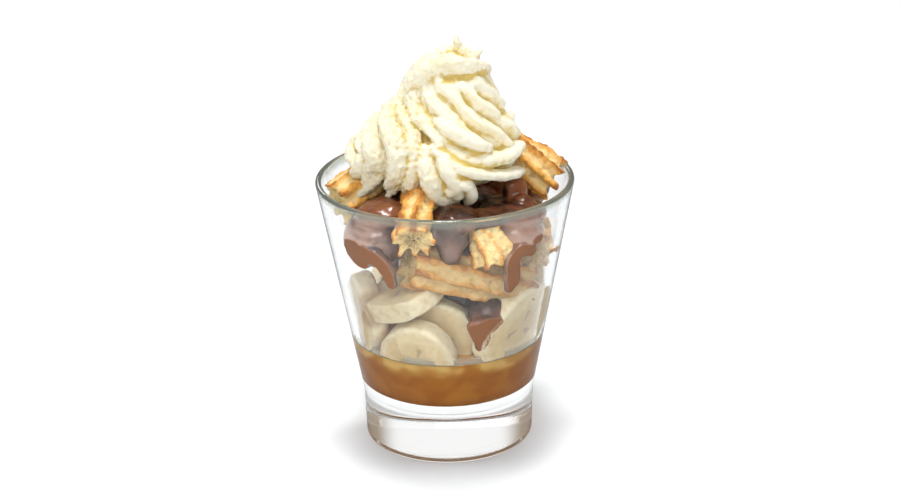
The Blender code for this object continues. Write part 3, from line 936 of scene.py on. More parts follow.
@dataclass(frozen=True)
class StudioWhite:
    """White paper under the glass, lit from below away from it and in soft shade round its foot.

    Attributes:
        shade: Its colour.
        mirrored: How bright it is in the glass and the sauce.
        glow: Its own light near the glass and far from it.
        spread: Between which distances that light grows, in metres.
        halo: How deep the shade round the foot is.
        halo_middle: Where that shade is deepest along Y, in metres.
        halo_reach: Between which distances from there it fades, in metres.
        halo_shape: How much faster it fades along X and along Y.
    """

    shade: Triple = (0.90, 0.92, 0.945)
    mirrored: float = 0.45
    glow: tuple[float, float] = (0.14, 0.45)
    spread: tuple[float, float] = (0.15, 1.6)
    halo: float = 0.24
    halo_middle: float = -0.018
    halo_reach: tuple[float, float] = (0.018, 0.066)
    halo_shape: tuple[float, float] = (1.42, 1.0)

    def make(self) -> bpy.types.Material:
        """Mixes the finish, dimmer where the glass and the sauce mirror it.

        Returns:
            The material.
        """
        work = Paintwork("studio_white")
        work.plain(Roughness=0.9, Specular_IOR_Level=0.0, Emission_Color=(1.0, 1.0, 1.0, 1.0))
        place = work.node("TexCoord", {}).outputs["Object"]
        reach = work.node("VectorMath", {0: place}, operation="LENGTH").outputs["Value"]
        path = work.node("LightPath", {})
        glossy = work.calc("SUBTRACT", path.outputs["Is Glossy Ray"],
                           path.outputs["Is Transmission Ray"])
        glossy = work.ramp(glossy, 0.0, 1.0)
        dim = work.ramp(glossy, 0.0, 1.0, 1.0, self.mirrored)
        glow = work.ramp(reach, *self.spread, *self.glow)
        work.connect("Emission Strength", work.times(glow, dim))
        colour = work.mix(glossy, self.shade, tuple(self.mirrored * c for c in self.shade))
        near_foot = work.node("VectorMath", {0: place, 1: (*self.halo_shape, 0.0),
                                             2: (0.0, -self.halo_middle, 0.0)},
                              operation="MULTIPLY_ADD").outputs["Vector"]
        away = work.node("VectorMath", {0: near_foot}, operation="LENGTH").outputs["Value"]
        halo = work.ramp(away, *self.halo_reach, self.halo, 0.0)
        work.connect("Base Color", work.mix(halo, colour, (0.0, 0.0, 0.0)))
        return work.material


def dress(obj: bpy.types.Object, material: bpy.types.Material, node: str) -> None:
    """Gives a piece its finish, sets it on the body and lets it stand for its solid.

    Args:
        obj: The finished piece.
        material: Its finish.
        node: The CAD node that it replaces.
    """
    obj.data.materials.clear()
    obj.data.materials.append(material)
    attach(obj, "root")
    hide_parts(node)
    LOG.info("%s: %d faces", obj.name, len(obj.data.polygons))


@dataclass
class Tumbler:
    """The stackable glass: solid base, shoulder, flared wall, inner ledge and rounded lip.

    Attributes:
        height: Height of its lip.
        rim_radius: Radius outside its lip.
        lip: Radius of the lip's rounding, half the wall's thickness.
        shoulder_radius: Radius where the wall meets the base.
        shoulder_height: Height of that edge.
        foot_radius: Radius of the base at the foot.
        foot_corner: Radius of the foot's rounded corner.
        punt_radius: Radius of the hollow under the base.
        punt_depth: Depth of that hollow.
        floor: Height of the bowl's floor.
        bowl_radius: Radius of the bowl near its floor.
        bowl_corner: Radius of the rounding round its floor.
        ledge_height: Height of the inner ledge.
        ledge_inner: Radius of the bowl under the ledge.
        ledge_outer: Radius of the bowl over the ledge.
        ledge_line: Half the height of the ledge's tinted line.
        foot_line: Half the width of the foot's tinted line.
        segments: Points round it.
        sharp: Angle from which an edge shades sharp, in degrees.
        contact: How far what touches it reaches into its wall, so that no air shows between.
        film: Thickness of caramel between the banana and the wall below the ledge.
    """

    height: float = 97.0
    rim_radius: float = 45.0
    lip: float = 1.1
    shoulder_radius: float = 30.4
    shoulder_height: float = 18.7
    foot_radius: float = 29.9
    foot_corner: float = 1.8
    punt_radius: float = 24.5
    punt_depth: float = 0.8
    floor: float = 21.0
    bowl_radius: float = 27.3
    bowl_corner: float = 6.0
    ledge_height: float = 39.3
    ledge_inner: float = 30.1
    ledge_outer: float = 32.0
    ledge_line: float = 1.5
    foot_line: float = 0.7
    segments: int = 144
    sharp: float = 50.0
    contact: float = 0.08
    film: float = 0.9

    def inner(self, height: np.ndarray) -> np.ndarray:
        """Radius of the inner wall at some heights."""
        radii, heights = zip(*self.bowl())
        return np.interp(height, heights, radii)

    def press(self, points: np.ndarray, film: float = 0.0) -> np.ndarray:
        """Flattens what reaches past the inner wall against the glass.

        Args:
            points: Points, moved in place.
            film: Thickness of caramel that is left on the wall below the ledge.

        Returns:
            1 where a point touches the glass, falling to 0 a quarter of a millimetre off it.
        """
        held = points[:, 2] < self.height - 0.5
        reach = np.hypot(points[:, 0], points[:, 1])
        limit = self.inner(points[:, 2]) + self.contact
        limit -= film * ease(self.ledge_height + 0.4 - points[:, 2], 0.0, 0.8)
        past = (reach > limit) & held
        points[past, :2] *= (limit[past] / reach[past])[:, None]
        return held * (1.0 - ease(limit - np.minimum(reach, limit), 0.05, 0.3))

    @staticmethod
    def arc(centre: Pixel, radius: float, start: float, end: float, steps: int) -> list[Pixel]:
        """Points of an arc in the (radius, height) plane, angles in degrees."""
        turn = np.radians(np.linspace(start, end, steps + 1))
        return [(centre[0] + radius * math.cos(a), centre[1] + radius * math.sin(a)) for a in turn]

    def bowl(self) -> list[Pixel]:
        """Draws the inner outline.

        Returns:
            Its points, from the middle of the bowl's floor up to where the lip starts.
        """
        corner = (self.bowl_radius - self.bowl_corner, self.floor + self.bowl_corner)
        return [
            (0.0, self.floor),
            *self.arc(corner, self.bowl_corner, -90, -5, 10),
            *self.arc((self.ledge_inner + 0.9, self.ledge_height - 0.9), 0.9, 175, 95, 5),
            *self.arc((self.ledge_outer - 0.8, self.ledge_height + 0.8), 0.8, -85, -8, 4),
            (self.rim_radius - 2 * self.lip, self.height - self.lip),
        ]

    def outline(self) -> list[Pixel]:
        """Draws the whole outline.

        Returns:
            Its points, from the middle of the bowl's floor over the lip to the foot's middle.
        """
        lip_centre = (self.rim_radius - self.lip, self.height - self.lip)
        foot_centre = (self.foot_radius - self.foot_corner, self.foot_corner)
        return [
            *self.bowl(),
            *self.arc(lip_centre, self.lip, 180, 0, 12)[1:],
            *self.arc((self.shoulder_radius - 0.6, self.shoulder_height + 1.0), 1.0, 10, -30, 3),
            (self.shoulder_radius, self.shoulder_height - 0.9),
            *self.arc(foot_centre, self.foot_corner, 0, -90, 8),
            (self.punt_radius + 0.9, 0.0),
            (self.punt_radius, self.punt_depth * 0.7),
            (self.punt_radius * 0.6, self.punt_depth),
            (0.0, self.punt_depth),
        ]

    def stations(self, step: float = 3.0, edge: float = 0.15) -> list[Pixel]:
        """Adds points along the outline's straight runs, so that they shade straight.

        Args:
            step: Distance between the added points.
            edge: Distance of the first and last one from the run's ends.

        Returns:
            The outline's points.
        """
        outline = self.outline()
        found = [outline[0]]
        for start, end in zip(outline, outline[1:]):
            length = math.dist(start, end)
            if length > 2.0:
                for t in (edge / length, *np.arange(step, length - 2.0, step) / length,
                          1 - edge / length):
                    found.append((start[0] + (end[0] - start[0]) * t,
                                  start[1] + (end[1] - start[1]) * t))
            found.append(end)
        return found

    def tint(self, glass: bpy.types.Object) -> None:
        """Marks the lip, the ledge and the foot ring, which look darker than the rest.

        Args:
            glass: The glass.
        """
        points = places(glass)
        height = points[:, 2]
        reach = np.hypot(points[:, 0], points[:, 1])
        lip = ease(height, self.height - 2.4 * self.lip, self.height - 1.2 * self.lip)
        inside = reach < self.ledge_outer + 0.6
        ledge = np.exp(-((height - self.ledge_height - 0.4) / self.ledge_line) ** 4) * inside
        foot = np.exp(-((reach - self.punt_radius - 0.4) / self.foot_line) ** 2) * (height < 1.0)
        paint(glass, "edge", lip)
        paint(glass, "ledge", np.maximum(ledge, foot))

    def build(self) -> None:
        """Turns the glass and dresses it."""
        sketch = Sketch()
        sketch.tube(turned(self.stations()[1:-1][::-1], self.segments))
        glass = sketch.build("tumbler")
        glass.data.set_sharp_from_angle(angle=math.radians(self.sharp))
        self.tint(glass)
        dress(glass, ClearGlass().make(), "glass")


@dataclass
class BananaSlice:
    """One slice of peeled banana.

    Attributes:
        name: The solid that it stands for.
        centre: Its middle.
        normal: Where its cut face points.
        spin: How far it is turned about that, in degrees.
        radius: Its radius.
        thickness: Its thickness.
        oval: How much longer than wide it is.
        edge: Radius of its rounded edge.
        corners: How far its three blunt corners stand out, as a share of the radius.
        bumps: Height and size of its large and small bumps.
        syrup_and_shade_reach: Distances from another slice between which the juice and painted shade
            fade.
        sides: Points round it.
    """

    name: str
    centre: Triple
    normal: Triple
    spin: float
    radius: float
    thickness: float
    oval: float = 1.0
    edge: float = 1.3
    corners: float = 0.025
    bumps: tuple[tuple[float, float], ...] = ((0.35, 7.0), (0.12, 1.6))
    syrup_and_shade_reach: tuple[float, float] = (0.2, 3.6)
    sides: int = 120

    def axes(self) -> tuple[Vector, Vector, Vector]:
        """Works out how the slice lies.

        Returns:
            Two directions across it and its outward normal.
        """
        normal = Vector(self.normal).normalized()
        side, up = square_to(normal)
        turn = Matrix.Rotation(math.radians(self.spin), 3, normal)
        return turn @ side, turn @ up, normal

    def distance(self, points: np.ndarray) -> np.ndarray:
        """Measures how far some points are from the slice.

        Args:
            points: Points, one a row.

        Returns:
            Their distances, 0 inside it.
        """
        side, up, normal = (np.array(axis) for axis in self.axes())
        off = points - np.array(self.centre)
        across = np.hypot(off @ side / self.oval, off @ up)
        out = np.maximum(across - self.radius, 0.0)
        along = np.maximum(np.abs(off @ normal) - self.thickness / 2, 0.0)
        return np.hypot(out, along)

    def profile(self) -> list[Pixel]:
        """Draws half of the slice's section, from the middle of one face to that of the other.

        Returns:
            Points as shares of the radius and distances along the normal.
        """
        half = self.thickness / 2
        corner = np.linspace(0, math.pi / 2, 6)
        flat_end = 1.0 - self.edge / self.radius
        face = [(r, -half) for r in np.linspace(0.04, flat_end, 20)[:-1]]
        face += [(1.0 - self.edge / self.radius * (1 - math.sin(a)),
                  -half + self.edge * (1 - math.cos(a))) for a in corner]
        side = [(1.0, d) for d in np.linspace(-half + self.edge, half - self.edge, 8)[1:-1]]
        return face + side + [(r, -d) for r, d in face[::-1]]

    def build(self, glass: Tumbler, material: bpy.types.Material,
              others: Sequence["BananaSlice"]) -> None:
        """Makes the slice, pressed on the glass, with juice and painted shade where it lies on another.

        Args:
            glass: The glass that holds it.
            material: Its finish.
            others: The slices round it.
        """
        side, up, normal = (np.array(axis) for axis in self.axes())
        turn = np.linspace(0, math.tau, self.sides, endpoint=False)
        across = (np.cos(turn)[:, None] * side * self.oval + np.sin(turn)[:, None] * up)
        outline = self.radius * (1.0 + self.corners * np.cos(3 * turn))
        rings, local = [], []
        for share, depth in self.profile():
            reach = outline * share
            rings.append(np.array(self.centre) + across * reach[:, None] + normal * depth)
            local.append(np.stack((np.cos(turn) * share, np.sin(turn) * share,
                                   np.full(self.sides, 2 * depth / self.thickness)), 1))
        sketch = Sketch()
        sketch.tube(rings)
        obj = sketch.build(self.name + "_slice")
        points = places(obj)
        seed = self.radius + self.spin
        bumps = sum(height * waviness(points, size, 2, seed) for height, size in self.bumps)
        points += normals(obj) * bumps[:, None]
        glass.press(points, glass.film)
        move_to(obj, points)
        layer = obj.data.attributes.new("slice", "FLOAT_VECTOR", "POINT")
        shares = np.vstack([*local, (0, 0, -1), (0, 0, 1)])
        layer.data.foreach_set("vector", shares.astype(np.float32).ravel())
        # Where another slice lies close, a brown of juice and painted shade.
        gap = np.min([piece.distance(points) for piece in others if piece is not self], axis=0)
        gap += 0.8 * waviness(points, 3.0, 2, seed)
        paint(obj, "seam", 1.0 - ease(gap, *self.syrup_and_shade_reach))
        dress(obj, material, self.name)


@dataclass
class ChurroPiece:
    """One piece of fluted churro with torn ends.

    Attributes:
        name: The solid that it stands for.
        start: Middle of its first end.
        end: Middle of its other end.
        bow: How far its middle is bent aside.
        twist: How far its ridges turn from start to end, in degrees.
        radius: Distance from its middle line to its ridges.
        ridges: How many ridges it has.
        valley: Distance to its valleys, as a share of the radius.
        bake: How much darker than golden it is fried.
        soaked_and_shaded: How far sauce has seeped in, with painted shade on a piece that lies in
            shadow.
        dipped: How brown it is near the cream.
        longest_tooth: Length of its longest torn tooth.
        crags: How deep its fine roughness is.
        knobs: How deep its coarse roughness is.
        dip: Heights between which it gets brown near the cream.
        sides: Points round it.
        rings: Rings along it.
        cap: Distances of the rings on its torn ends, as shares of its own.
    """

    name: str
    start: Triple
    end: Triple
    bow: Triple
    twist: float
    radius: float
    ridges: int = 8
    valley: float = 0.70
    bake: float = 0.0
    soaked_and_shaded: float = 0.0
    dipped: float = 0.0
    longest_tooth: float = 2.8
    crags: float = 0.5
    knobs: float = 0.75
    dip: tuple[float, float] = (88.0, 96.0)
    sides: int = 144
    rings: int = 84
    cap: tuple[float, ...] = (0.93, 0.84, 0.72, 0.6, 0.48, 0.36, 0.24, 0.12)

    def axes(self) -> tuple[np.ndarray, np.ndarray, np.ndarray]:
        """Works out how the piece lies.

        Returns:
            Two directions across it and the one along it.
        """
        axis = (Vector(self.end) - Vector(self.start)).normalized()
        side, up = square_to(axis)
        return np.array(side), np.array(up), np.array(axis)

    def torn_end(self, last: np.ndarray, outwards: int,
                 draw: np.random.Generator) -> list[np.ndarray]:
        """Closes one end with a rough sunken face.

        Args:
            last: The last ring before it.
            outwards: 1 or -1, for which way along the piece it faces.
            draw: Draws its roughness.

        Returns:
            Its rings, from the outside in.
        """
        axis = self.axes()[2]
        hub = last.mean(0)
        rough = [draw.uniform(-0.35, 0.35, self.sides) for _ in self.cap]
        flat = (last - hub) - ((last - hub) @ axis)[:, None] * axis
        rings = []
        for share, bumps in zip(self.cap, rough):
            torn_left = (last - hub - flat) * ease(np.array(share), 0.5, 1.0)
            sunk = -0.8 * outwards * (1 - share) ** 0.5
            rings.append(hub + flat * share + torn_left + axis * (bumps + sunk)[:, None])
        return rings

    def draft(self) -> tuple[bpy.types.Object, np.ndarray]:
        """Draws the piece before it is roughened.

        Returns:
            The object, and how fried it is at each of its vertices.
        """
        start, end, bow = Vector(self.start), Vector(self.end), Vector(self.bow)
        side, up, axis = self.axes()
        draw = np.random.default_rng(round(self.radius * 10 + self.twist + 100))
        angle = np.linspace(0, math.tau, self.sides, endpoint=False)
        own = np.round(angle / math.tau * self.ridges).astype(int) % self.ridges
        ridge = (0.5 + 0.5 * np.cos(self.ridges * angle)) ** 1.5
        tall = draw.uniform(0.7, 1.15, self.ridges)[own]
        teeth = draw.uniform(-0.4, self.longest_tooth, (2, self.ridges))[:, own]
        length = (end - start).length
        rings, fried = [], []
        for t in np.linspace(0, 1, self.rings):
            centre = np.array(start.lerp(end, t) + bow * math.sin(math.pi * t))
            claw = math.exp(-min(t, 1 - t) * length / 2.0)
            swell = 1.0 + 0.04 * math.sin(5.0 * t + self.radius) - 0.06 * claw
            turn = angle + math.radians(self.twist) * t
            reach = self.radius * swell * (self.valley + (1 - self.valley) * ridge * tall)
            outwards = 1 if t > 0.5 else -1
            torn = outwards * claw * (teeth[(outwards + 1) // 2] * ridge - 0.5 * (1 - ridge))
            across = np.cos(turn)[:, None] * side + np.sin(turn)[:, None] * up
            rings.append(centre + across * reach[:, None] + axis * torn[:, None])
            fried.append(0.9 * ridge * tall + 0.45 * claw * (0.2 + ridge) - 0.12)
        first, last = self.torn_end(rings[0], -1, draw), self.torn_end(rings[-1], 1, draw)
        pale = [0.05 + 0.6 * ridge * max(0.0, share - 0.7) for share in self.cap]
        sketch = Sketch()
        sketch.tube([*first[::-1], *rings, *last])
        hubs = [0.1, 0.1]
        return sketch.build(self.name + "_piece"), np.concatenate([*pale[::-1], *fried, *pale, hubs])

    def build(self, glass: Tumbler, material: bpy.types.Material) -> None:
        """Makes the piece, browned along its ridges and at its ends.

        Args:
            glass: The glass that holds it.
            material: Its finish.
        """
        obj, browned = self.draft()
        points = places(obj)
        crags = waviness(points, 1.9, 3, self.radius)
        knobs = waviness(points, 5.0, 2, self.twist)
        points += normals(obj) * (self.crags * crags + self.knobs * knobs)[:, None]
        glass.press(points)
        move_to(obj, points)
        sauced = self.dipped * ease(points[:, 2] + 2.0 * knobs, *self.dip)
        paint(obj, "fried", browned + 0.25 * crags + self.bake + sauced)
        # Seeped sauce and painted shade, even over the piece.
        paint(obj, "soaked_and_shaded", np.full(len(points), self.soaked_and_shaded))
        dress(obj, material, self.name)


@dataclass
class CaramelPool:
    """The caramel in the bottom of the glass.

    Attributes:
        level: Height of its surface.
        segments: Points round it.
        cloudy: How far under its surface banana clouds it fully and not at all.
        banana_fade: Distance from banana at which the clouds are full and at which they end.
        edge_from: Height from which it gets lighter towards its surface.
        edge_share: How light its surface is.
    """

    level: float = 39.05
    segments: int = 180
    cloudy: tuple[float, float] = (1.5, 6.5)
    banana_fade: tuple[float, float] = (0.9, 3.2)
    edge_from: float = 32.0
    edge_share: float = 0.75

    def build(self, glass: Tumbler, slices: Sequence[BananaSlice]) -> None:
        """Fills the bowl up to the ledge.

        Args:
            glass: The glass that holds it.
            slices: The banana that shows through it.
        """
        base = glass.floor - glass.contact
        rings = [(r, base) for r in np.linspace(1.0, glass.bowl_radius - glass.bowl_corner, 16)]
        for height in np.linspace(base + 0.05, self.level, 50):
            reach = float(glass.inner(np.array([max(height, glass.floor)]))[0])
            rings.append((reach + glass.contact, height))
        last = rings[-1][0]
        rings += [(r, self.level) for r in np.linspace(last - 0.8, 1.0, 30)]
        sketch = Sketch()
        sketch.tube(turned(rings, self.segments))
        obj = sketch.build("caramel_pool")
        points = places(obj)
        near = np.min([piece.distance(points) for piece in slices], axis=0)
        blur = 1.5 * waviness(points, 6.0, 4, 3.0)
        full, none = self.cloudy
        shallow = ease(points[:, 2] + blur, self.level - none, self.level - full)
        patchy = 0.35 + 0.65 * ease(waviness(points, 8.0, 2, 9.0), -0.25, 0.3)
        beside = 1.0 - ease(near + blur, *self.banana_fade)
        paint(obj, "banana_near", beside * shallow * patchy)
        paint(obj, "edge", ease(points[:, 2], self.edge_from, self.level) * self.edge_share)
        dress(obj, Caramel().make(), "caramel")


@dataclass(frozen=True)
class Fold:
    """One fold of cream, drawn along its crest in the photograph.

    Attributes:
        crest: Pixels along the crest.
        radii: Radii along it.
        sink: Share of its radius that lies in the mass under it.
    """

    crest: tuple[Pixel, ...]
    radii: tuple[float, ...]
    sink: float = 0.45


@dataclass(frozen=True)
class Dent:
    """A hollow in the side of the swirl.

    Attributes:
        azimuth: Where it is, in degrees.
        height: Height of its middle.
        depth: How deep it is.
        wide: Its half width in degrees.
        tall: Its half height.
    """

    azimuth: float
    height: float
    depth: float
    wide: float
    tall: float


@dataclass
class Swirl:
    """The main body of the cream: a twisted star that narrows towards its top.

    Attributes:
        heights: Heights at which the next three are given.
        reaches: Distance from its middle to its crests.
        middles: Where its middle stands along X.
        depths: Its size along Y, as a share of that along X.
        forward: Where its middle stands along Y.
        crests: How many crests it has.
        first_crest: Azimuth of the first one in degrees, at crest_height.
        crest_height: Height at which that one is given.
        twist: Degrees that the crests turn over a millimetre of height.
        depth: Depth of the grooves between them.
        grooved_from: Heights between which the grooves start.
        shallow_from: Heights between which they get shallower.
        calm_side: Azimuth where they are shallow, in degrees.
        calm_width: Half width of that part, in degrees.
        calm_from: Heights between which that part starts.
        dents: Its hollows.
        sides: Points round it.
        step: Height between its rings.
    """

    heights: tuple[float, ...] = (95, 99, 104, 109, 113, 118, 123, 128, 132, 135, 138, 140.5, 142)
    reaches: tuple[float, ...] = (10, 16, 21.4, 22.4, 22.4, 21.8, 20, 17.6, 15.4, 13.7, 11, 7, 3)
    middles: tuple[float, ...] = (-1, 1.5, 3.6, 4, 4.2, 3.6, 2.6, 1.6, 1.5, 1.5, 0.9, 0.1, -0.4)
    depths: tuple[float, ...] = (1, 1, 1, 1, 1, 1, 0.94, 0.88, 0.86, 0.86, 0.9, 1, 1)
    forward: float = -2.0
    crests: int = 11
    first_crest: float = -99.0
    crest_height: float = 113.0
    twist: float = 3.0
    depth: float = 5.0
    grooved_from: tuple[float, float] = (103.0, 108.0)
    shallow_from: tuple[float, float] = (127.0, 134.0)
    calm_side: float = -148.0
    calm_width: float = 28.0
    calm_from: tuple[float, float] = (107.0, 112.0)
    dents: tuple[Dent, ...] = (
        Dent(-126, 115.5, 3.8, 12, 4.2),
        Dent(-62, 136.3, 4.2, 24, 2.0),
        Dent(-75, 106.0, 2.5, 30, 1.6),
        Dent(0, 121.3, 3.2, 32, 1.8),
    )
    sides: int = 264
    step: float = 0.5

    @staticmethod
    def apart(azimuth: np.ndarray, other: float) -> np.ndarray:
        """Degrees from one azimuth to others, from -180 to 180."""
        return (azimuth - other + 180) % 360 - 180

    def crest(self, azimuth: np.ndarray, height: float) -> np.ndarray:
        """Finds the crests at one height.

        Args:
            azimuth: Azimuths in degrees.
            height: The height.

        Returns:
            How far up a crest each azimuth is, from 0 to 1.
        """
        a = np.radians(azimuth)
        wander = 3.0 * np.sin(2 * a + height / 6.0) + 2.5 * np.sin(5 * a - height / 4.0)
        phase = azimuth + wander - self.first_crest + self.twist * (height - self.crest_height)
        half = np.radians(phase) * self.crests / 2
        return 0.5 * (1.0 - np.abs(np.sin(half))) + 0.5 * np.abs(np.cos(half))

    def groove(self, azimuth: np.ndarray, height: float) -> np.ndarray:
        """Works out how deep the grooves are at one height.

        Args:
            azimuth: Azimuths in degrees.
            height: The height.

        Returns:
            Their depth at each azimuth.
        """
        a, level = np.radians(azimuth), np.array(height)
        off = self.apart(azimuth, self.calm_side)
        calm = np.exp(-(off / self.calm_width) ** 2) * ease(level, *self.calm_from)
        uneven = 1.0 + 0.3 * np.sin(3 * a + 1.0) * np.sin(height / 7.0)
        uneven = uneven * (1.0 - 0.6 * np.exp(-(azimuth / self.calm_width) ** 2))
        fade = ease(level, *self.grooved_from) * (1 - 0.7 * ease(level, *self.shallow_from))
        return self.depth * (1 - 0.8 * calm) * uneven * fade

    def rings(self) -> list[np.ndarray]:
        """Draws the star at every step of height.

        Returns:
            Its rings, from below.
        """
        azimuth = np.linspace(-180, 180, self.sides, endpoint=False)
        a = np.radians(azimuth)
        rings = []
        for height in np.arange(self.heights[0], self.heights[-1], self.step):
            reach = np.interp(height, self.heights, self.reaches)
            reach = reach - self.groove(azimuth, height) * (1 - self.crest(azimuth, height))
            for dent in self.dents:
                away = self.apart(azimuth, dent.azimuth) / dent.wide
                reach = reach - dent.depth * np.exp(
                    -away ** 2 - ((height - dent.height) / dent.tall) ** 2)
            x = np.interp(height, self.heights, self.middles) + np.cos(a) * reach
            y = np.sin(a) * reach * np.interp(height, self.heights, self.depths) + self.forward
            rings.append(np.column_stack((x, y, np.full(self.sides, height))))
        return rings


@dataclass(frozen=True)
class Shade:
    """A dark crease, drawn in the photograph.

    Attributes:
        line: Pixels along it.
        width: Its half width in pixels.
        depth: How dark it is.
    """

    line: tuple[Pixel, ...]
    width: float
    depth: float


@dataclass(frozen=True)
class Tip:
    """A pulled tip, drawn in the photograph.

    Attributes:
        line: Pixels along it.
        radii: Radii along it.
        forward: Where it stands along Y.
    """

    line: tuple[Pixel, ...]
    radii: tuple[float, ...]
    forward: float = 0.0


@dataclass(frozen=True)
class BackStrands:
    """Strands that hang down one mass at the back.

    Attributes:
        lobe: The mass.
        first: Azimuth of the first one, in degrees.
        step: Degrees between them.
        count: How many there are.
        elevations: Where each runs, as seen from the mass's middle, in degrees.
        turn: How far each turns aside over three of its points, in degrees.
        radii: Radii along it.
    """

    lobe: str
    first: float
    step: float
    count: int
    elevations: tuple[float, ...]
    turn: float
    radii: tuple[float, ...]


@dataclass
class CreamHeap:
    """The piped whipped cream: masses, the folds over them, and its pulled tips.

    Attributes:
        voxel: Size of the grid that it is fused on.
        pinch: How sharply the folds are pinched.
        lobes: Middle and radii of each mass that the folds lie on.
        cores: Share of each mass that is filled.
        filling: Middle and radii of the masses under them.
        shades: Lines of painted shade, darker than the creases' depth alone makes them.
        folds: The folds over the masses.
        tips: Its pulled tips.
        back: The strands at the back.
        sheet: Middle height and radii of the flat mass that the tips are drawn on.
        grain_depth: How deep its fine roughness is.
        lump_depth: How deep its coarse roughness is.
        grained_left: X from which the left side gets more grained, to the left, and is fully so.
        grained_top: Heights between which the top gets grained.
        hollows: Weights of fine and coarse creases in the painted shade, and rounds that find them.
    """

    voxel: float = 0.36
    pinch: float = 0.5
    lobes: dict[str, tuple[Triple, Triple]] = field(default_factory=lambda: {
        "main": ((8.0, -3.0, 109.5), (20.0, 21.0, 18.0)),
        "top": ((2.5, -1.0, 128.5), (15.8, 13.5, 13.5)),
        "left": ((-13.0, -5.0, 108.3), (14.2, 17.0, 15.4)),
        "far": ((-24.6, -6.0, 104.0), (7.0, 9.0, 9.0)),
        "shoulder": ((-10.0, -2.0, 119.0), (12.0, 12.5, 12.0)),
    })
    cores: dict[str, float] = field(default_factory=lambda: {
        "main": 0.8, "top": 0.75, "left": 0.88, "far": 0.9, "shoulder": 0.86})
    filling: tuple[tuple[Triple, Triple], ...] = (
        ((-3.0, -3.0, 101.0), (16.0, 15.0, 8.5)),
        ((-1.0, -14.0, 104.0), (9.5, 9.0, 9.0)),
    )
    shades: tuple[Shade, ...] = (
        Shade(((442, 82), (455, 80), (470, 77), (484, 72)), 3.2, 1.3),
        Shade(((417, 131), (421, 138), (427, 145), (436, 147)), 3.5, 0.6),
        Shade(((440, 148), (452, 153), (466, 157), (478, 156)), 3.0, 0.9),
        Shade(((452, 158), (462, 163), (478, 165), (495, 165), (510, 160)), 3.5, 1.2),
        Shade(((458, 178), (475, 181), (492, 183)), 3.0, 1.0),
        Shade(((500, 108), (508, 120), (514, 132)), 5.0, 0.7),
        Shade(((487, 78), (494, 90), (500, 100)), 5.0, 0.5),
        Shade(((425, 60), (440, 56), (455, 55), (470, 56)), 4.0, 0.35),
        Shade(((456, 38), (458, 46), (460, 52)), 4.0, 0.7),
    )
    folds: tuple[Fold, ...] = (
        Fold(((427, 108), (436, 119), (447, 129), (463, 138), (478, 145), (485, 147)),
             (2.6, 3.6, 3.8, 3.6, 3.2, 2.4), 0.5),
        Fold(((411, 95), (417, 85), (426, 78), (437, 71.5), (451, 68), (468, 68), (482, 69), (490, 70)),
             (2.0, 2.6, 3.2, 3.5, 3.2, 2.7, 2.0, 1.0), 0.3),
        Fold(((426, 67), (438, 61), (452, 58), (465, 60), (474, 64)), (2.0, 2.6, 3.0, 2.8, 2.2), 1.0),
        Fold(((392, 108), (394, 120), (399, 137), (403, 152), (403, 167), (397, 182), (388, 195)),
             (2.4, 3.8, 4.6, 4.6, 4.2, 3.0, 1.3)),
        Fold(((404, 112), (412, 128), (416, 146), (417, 164), (414, 180), (413, 190)),
             (2.4, 3.0, 3.0, 3.2, 3.2, 2.4)),
        Fold(((384, 117), (379, 129), (378, 144), (381, 157), (378, 171), (371, 183), (361, 193)),
             (2.2, 3.4, 4.0, 3.8, 3.4, 2.8, 1.2)),
        Fold(((371, 134), (364, 138), (359, 146), (358, 156), (361, 166)),
             (2.2, 2.7, 2.9, 2.8, 2.2)),
        Fold(((364, 139), (367, 148), (372, 155)), (2.2, 2.6, 2.2), 0.2),
        Fold(((367, 160), (361, 170), (356, 179)), (2.6, 2.4, 1.2), 0.2),
        Fold(((446, 147), (459, 156), (478, 160), (498, 158), (509, 153), (515, 146)),
             (2.6, 3.2, 3.4, 3.2, 2.8, 2.4), 0.95),
        Fold(((436, 149), (447, 160), (460, 168), (478, 173), (498, 175), (511, 173), (518, 171)),
             (2.2, 3.0, 3.0, 2.6, 2.4, 2.4, 2.0), 0.0),
        Fold(((429, 152), (430, 164), (435, 177), (441, 187), (448, 192)),
             (3.6, 4.8, 5.5, 5.4, 4.4), 0.0),
        Fold(((441, 154), (447, 166), (453, 177), (456, 187)), (2.6, 4.0, 4.2, 3.6), 0.0),
        Fold(((453, 187), (461, 183), (468, 186), (470.5, 193), (467, 199)),
             (3.0, 2.8, 2.7, 2.4, 1.6), -0.6),
    )
    tips: tuple[Tip, ...] = (
        Tip(((463, 60), (460, 50), (457, 42), (455.5, 37)), (3.6, 1.9, 1.3, 0.9)),
        Tip(((471, 62), (477, 53), (481, 50)), (2.4, 1.3, 0.8)),
        Tip(((400, 174), (395, 185), (386, 198)), (3.4, 2.5, 0.8), -17.0),
        Tip(((376, 174), (369, 185), (359, 195)), (3.0, 2.3, 0.8), -13.0),
    )
    back: tuple[BackStrands, ...] = (
        BackStrands("left", 76, 30, 3, (56, 30, 2, -26), 30, (2.2, 3.4, 2.4)),
    )
    sheet: tuple[float, Triple] = (120.0, (90.0, 0.5, 90.0))
    grain_depth: float = 0.46
    lump_depth: float = 0.42
    grained_left: tuple[float, float] = (4.0, -12.0)
    grained_top: tuple[float, float] = (128.0, 138.0)
    hollows: tuple[tuple[float, int], ...] = ((1.7, 14), (0.6, 80))

    def around(self, lobe: str, azimuth: float, elevation: float, sink: float) -> Vector:
        """Finds a point on one mass by its direction.

        Args:
            lobe: The mass.
            azimuth: Its azimuth in degrees.
            elevation: Its elevation in degrees.
            sink: How far it lies under the mass's surface.

        Returns:
            The point.
        """
        centre, radii = self.lobes[lobe]
        a, e = math.radians(azimuth), math.radians(elevation)
        ray = (math.cos(a) * math.cos(e), math.sin(a) * math.cos(e), math.sin(e))
        return Vector(c + (r - sink) * d for c, r, d in zip(centre, radii, ray))

